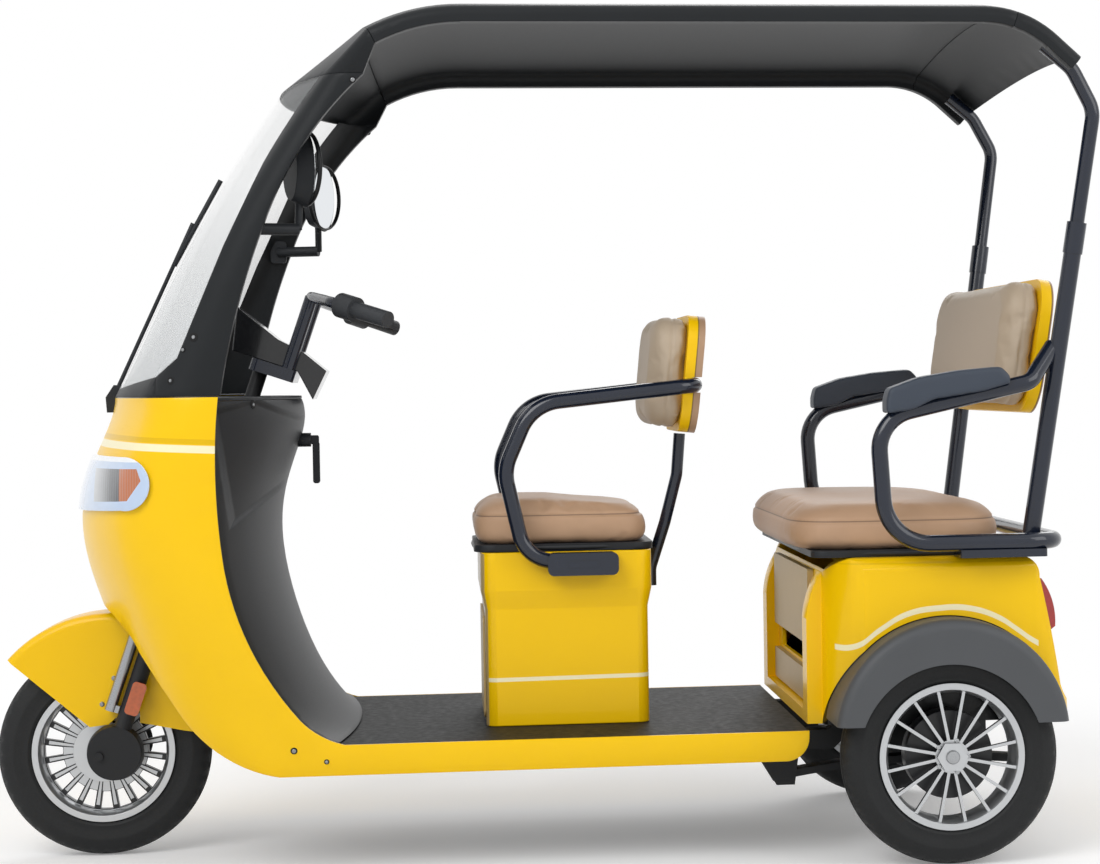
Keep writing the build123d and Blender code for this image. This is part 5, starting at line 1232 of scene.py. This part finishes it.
class TRICYCLE_OT_screws(bpy.types.Operator):
    """Add the screws that hold the panels, each on the surface that carries it"""

    bl_idname = "tricycle.screws"
    bl_label = "Screws"

    def execute(self, context):
        # Near-black discs stand for the shadow in the recesses
        dark = plain_finish("recess_shadow", linear("#0C0C0D"), 0.7, 2.0, 0.1)
        steel = plain_finish("zinc_plated_screw", linear("#8E9092"), 0.35, 1.0, 0.05, metallic=0.9)
        recesses, heads, mudguard = bmesh.new(), bmesh.new(), bmesh.new()
        for side in (1, -1):
            inward = (0, -side, 0)
            for node, x, z, radius, sunk_in_shade in SCREWS:
                seat = surface_under(node, (x, 0.75 * side, z), inward)
                screw_part(recesses, seat, RECESS if sunk_in_shade else WASHER, radius, 20)
                screw_part(heads, seat, RECESSED_HEAD if sunk_in_shade else HEAD, radius, 12)
            for x, z in MUDGUARD_SCREWS:
                seat = surface_under("front_fender", (x, 0.3 * side, z), inward)
                screw_part(mudguard, seat, BARE_HEAD, MUDGUARD_SCREW_RADIUS, 14)
        for name, bm, body, finish in (
            ("panel_recess_shadows", recesses, "chassis", dark),
            ("panel_screws", heads, "chassis", steel),
            ("mudguard_screws", mudguard, "steering", steel),
        ):
            new_piece(name, mesh_from(name, bm), body, finish, smooth=False)
        return {"FINISHED"}


# ---- Stage: camera, floor and light ----

# Camera solved from the photograph: turn, dip and roll in degrees, place in metres, focal length in pixels
VIEW_TURN = 6.10
VIEW_DIP = 1.27
VIEW_ROLL = -0.86
VIEW_PLACE = (0.181, 4.889, 0.931)
VIEW_FOCAL = 2396.0
VIEW_CENTRE = (698.0, 433.0)
PHOTO_SIZE = (1100.0, 864.0)
SENSOR_WIDTH = 36.0
# Light that the surround gives, and how much the near floor is lifted for the camera
WORLD_LIGHT = 0.52
FLOOR_LIFT = 0.2
# The floor fades to white between these distances from the vehicle's middle
FLOOR_MIDDLE = (-0.05, 0, 0)
FLOOR_FADE = (1.5, 2.7)
WHITE = (1, 1, 1, 1)
# Softboxes that aim at the vehicle's middle: name, place, size, power
SOFTBOXES = (
    ("key_light", (2.6, 3.8, 4.2), 3.2, 140),
    ("fill_light", (-3.6, 3.0, 3.0), 3.0, 60),
    ("rim_light", (-1.5, -4.0, 3.6), 3.0, 60),
)
LIGHT_AIM = Vector((0.0, 0.0, 0.7))


def seen_white(tree):
    """1 for rays that come from the camera, from gloss or through glass."""
    path = add_node(tree, "LightPath").outputs
    return any_of(tree, path["Is Camera Ray"], path["Is Transmission Ray"], path["Is Glossy Ray"])


def floor_finish(name):
    """Pale seamless paper: keeps the shadow near the vehicle and fades to the white surround further off."""
    material, tree = start_material(name)
    seen = seen_white(tree)
    base = painted(tree, linear("#F4F4F4"), (linear("#F8F8F8"), grain(tree, 300.0)))
    paper = add_node(tree, "BsdfPrincipled", {"Base Color": base, "Roughness": 0.9, "Specular IOR Level": 0.05})
    lift = add_node(tree, "Emission", {"Color": WHITE, "Strength": all_of(tree, seen, FLOOR_LIFT)})
    lifted = add_node(tree, "AddShader", {0: paper, 1: lift})
    white = add_node(tree, "Emission", {"Color": WHITE, "Strength": 1.0})
    away = add_node(tree, "VectorMath", {0: row_place(tree), 1: FLOOR_MIDDLE}, operation="DISTANCE")
    far = add_node(
        tree,
        "MapRange",
        {"Value": away.outputs["Value"], "From Min": FLOOR_FADE[0], "From Max": FLOOR_FADE[1]},
        interpolation_type="SMOOTHSTEP",
    )
    faded = add_node(tree, "MixShader", {0: all_of(tree, far, seen), 1: lifted, 2: white})
    add_node(tree, "OutputMaterial", {"Surface": faded})
    return material


def light_world(scene):
    """Even white surround; the camera and reflections see it white, the vehicle is lit at a plain level."""
    world = bpy.data.worlds.new("studio_surround")
    scene.world = world
    world.use_nodes = True
    tree = world.node_tree
    tree.nodes.clear()
    strength = add_node(tree, "MapRange", {"Value": seen_white(tree), "To Min": WORLD_LIGHT, "To Max": 1.0})
    surround = add_node(tree, "Background", {"Color": WHITE, "Strength": strength})
    add_node(tree, "OutputWorld", {"Surface": surround})


def place_camera(scene):
    """Camera at the photograph's place, with its framing as a lens shift."""
    turn, dip, roll = (math.radians(a) for a in (VIEW_TURN, VIEW_DIP, VIEW_ROLL))
    ahead = Vector((-math.sin(turn) * math.cos(dip), -math.cos(turn) * math.cos(dip), -math.sin(dip)))
    right = ahead.cross(Vector((0, 0, 1))).normalized()
    up = right.cross(ahead)
    right, up = (
        math.cos(roll) * right + math.sin(roll) * up,
        -math.sin(roll) * right + math.cos(roll) * up,
    )
    camera = bpy.data.objects.new("photo_camera", bpy.data.cameras.new("photo_camera"))
    camera.matrix_world = Matrix.Translation(VIEW_PLACE) @ Matrix((right, up, -ahead)).transposed().to_4x4()
    camera.data.sensor_width = SENSOR_WIDTH
    camera.data.lens = SENSOR_WIDTH * VIEW_FOCAL / PHOTO_SIZE[0]
    camera.data.shift_x = (PHOTO_SIZE[0] / 2 - VIEW_CENTRE[0]) / PHOTO_SIZE[0]
    camera.data.shift_y = (VIEW_CENTRE[1] - PHOTO_SIZE[1] / 2) / PHOTO_SIZE[0]
    camera.data.clip_start = 0.1
    camera.data.clip_end = 100
    scene.collection.objects.link(camera)
    scene.camera = camera


class TRICYCLE_OT_stage(bpy.types.Operator):
    """Pale floor, soft light and the camera"""

    bl_idname = "tricycle.stage"
    bl_label = "Stage"

    def execute(self, context):
        scene = context.scene
        scene.view_settings.view_transform = "Standard"
        place_camera(scene)
        bm = bmesh.new()
        bmesh.ops.create_grid(bm, x_segments=2, y_segments=2, size=30.0)
        floor = bpy.data.objects.new("studio_floor", mesh_from("studio_floor", bm))
        scene.collection.objects.link(floor)
        floor.data.materials.append(floor_finish("pale_studio_floor"))
        light_world(scene)
        for name, place, size, power in SOFTBOXES:
            lamp = bpy.data.lights.new(name, "AREA")
            lamp.size = size
            lamp.energy = power
            light = bpy.data.objects.new(name, lamp)
            light.location = place
            light.rotation_euler = (LIGHT_AIM - light.location).to_track_quat("-Z", "Y").to_euler()
            scene.collection.objects.link(light)
        return {"FINISHED"}


# ---- Sidebar and run ----


class TRICYCLE_PT_panel(bpy.types.Panel):
    """Sidebar with every operator and the settings they read"""

    bl_label = "Tricycle"
    bl_idname = "TRICYCLE_PT_panel"
    bl_space_type = "VIEW_3D"
    bl_region_type = "UI"
    bl_category = "Tricycle"

    def draw(self, context):
        for operator in OPERATORS:
            self.layout.operator(operator.bl_idname)
        for group in (context.scene.tricycle_sizes, context.scene.tricycle_colours):
            for name in group.__annotations__:
                self.layout.prop(group, name)


OPERATORS = (
    TRICYCLE_OT_stage,
    TRICYCLE_OT_panels,
    TRICYCLE_OT_trim,
    TRICYCLE_OT_metal,
    TRICYCLE_OT_rubber,
    TRICYCLE_OT_tyres,
    TRICYCLE_OT_wheels,
    TRICYCLE_OT_lamps,
    TRICYCLE_OT_glazing,
    TRICYCLE_OT_padding,
    TRICYCLE_OT_screws,
)
CLASSES = (TricycleColours, TricycleSizes, *OPERATORS, TRICYCLE_PT_panel)


def register():
    for cls in CLASSES:
        bpy.utils.register_class(cls)
    bpy.types.Scene.tricycle_colours = PointerProperty(type=TricycleColours)
    bpy.types.Scene.tricycle_sizes = PointerProperty(type=TricycleSizes)


def unregister():
    del bpy.types.Scene.tricycle_sizes
    del bpy.types.Scene.tricycle_colours
    for cls in reversed(CLASSES):
        bpy.utils.unregister_class(cls)


def main():
    register()
    for operator in OPERATORS:
        group, action = operator.bl_idname.split(".")
        getattr(getattr(bpy.ops, group), action)()


if __name__ == "__main__":
    main()
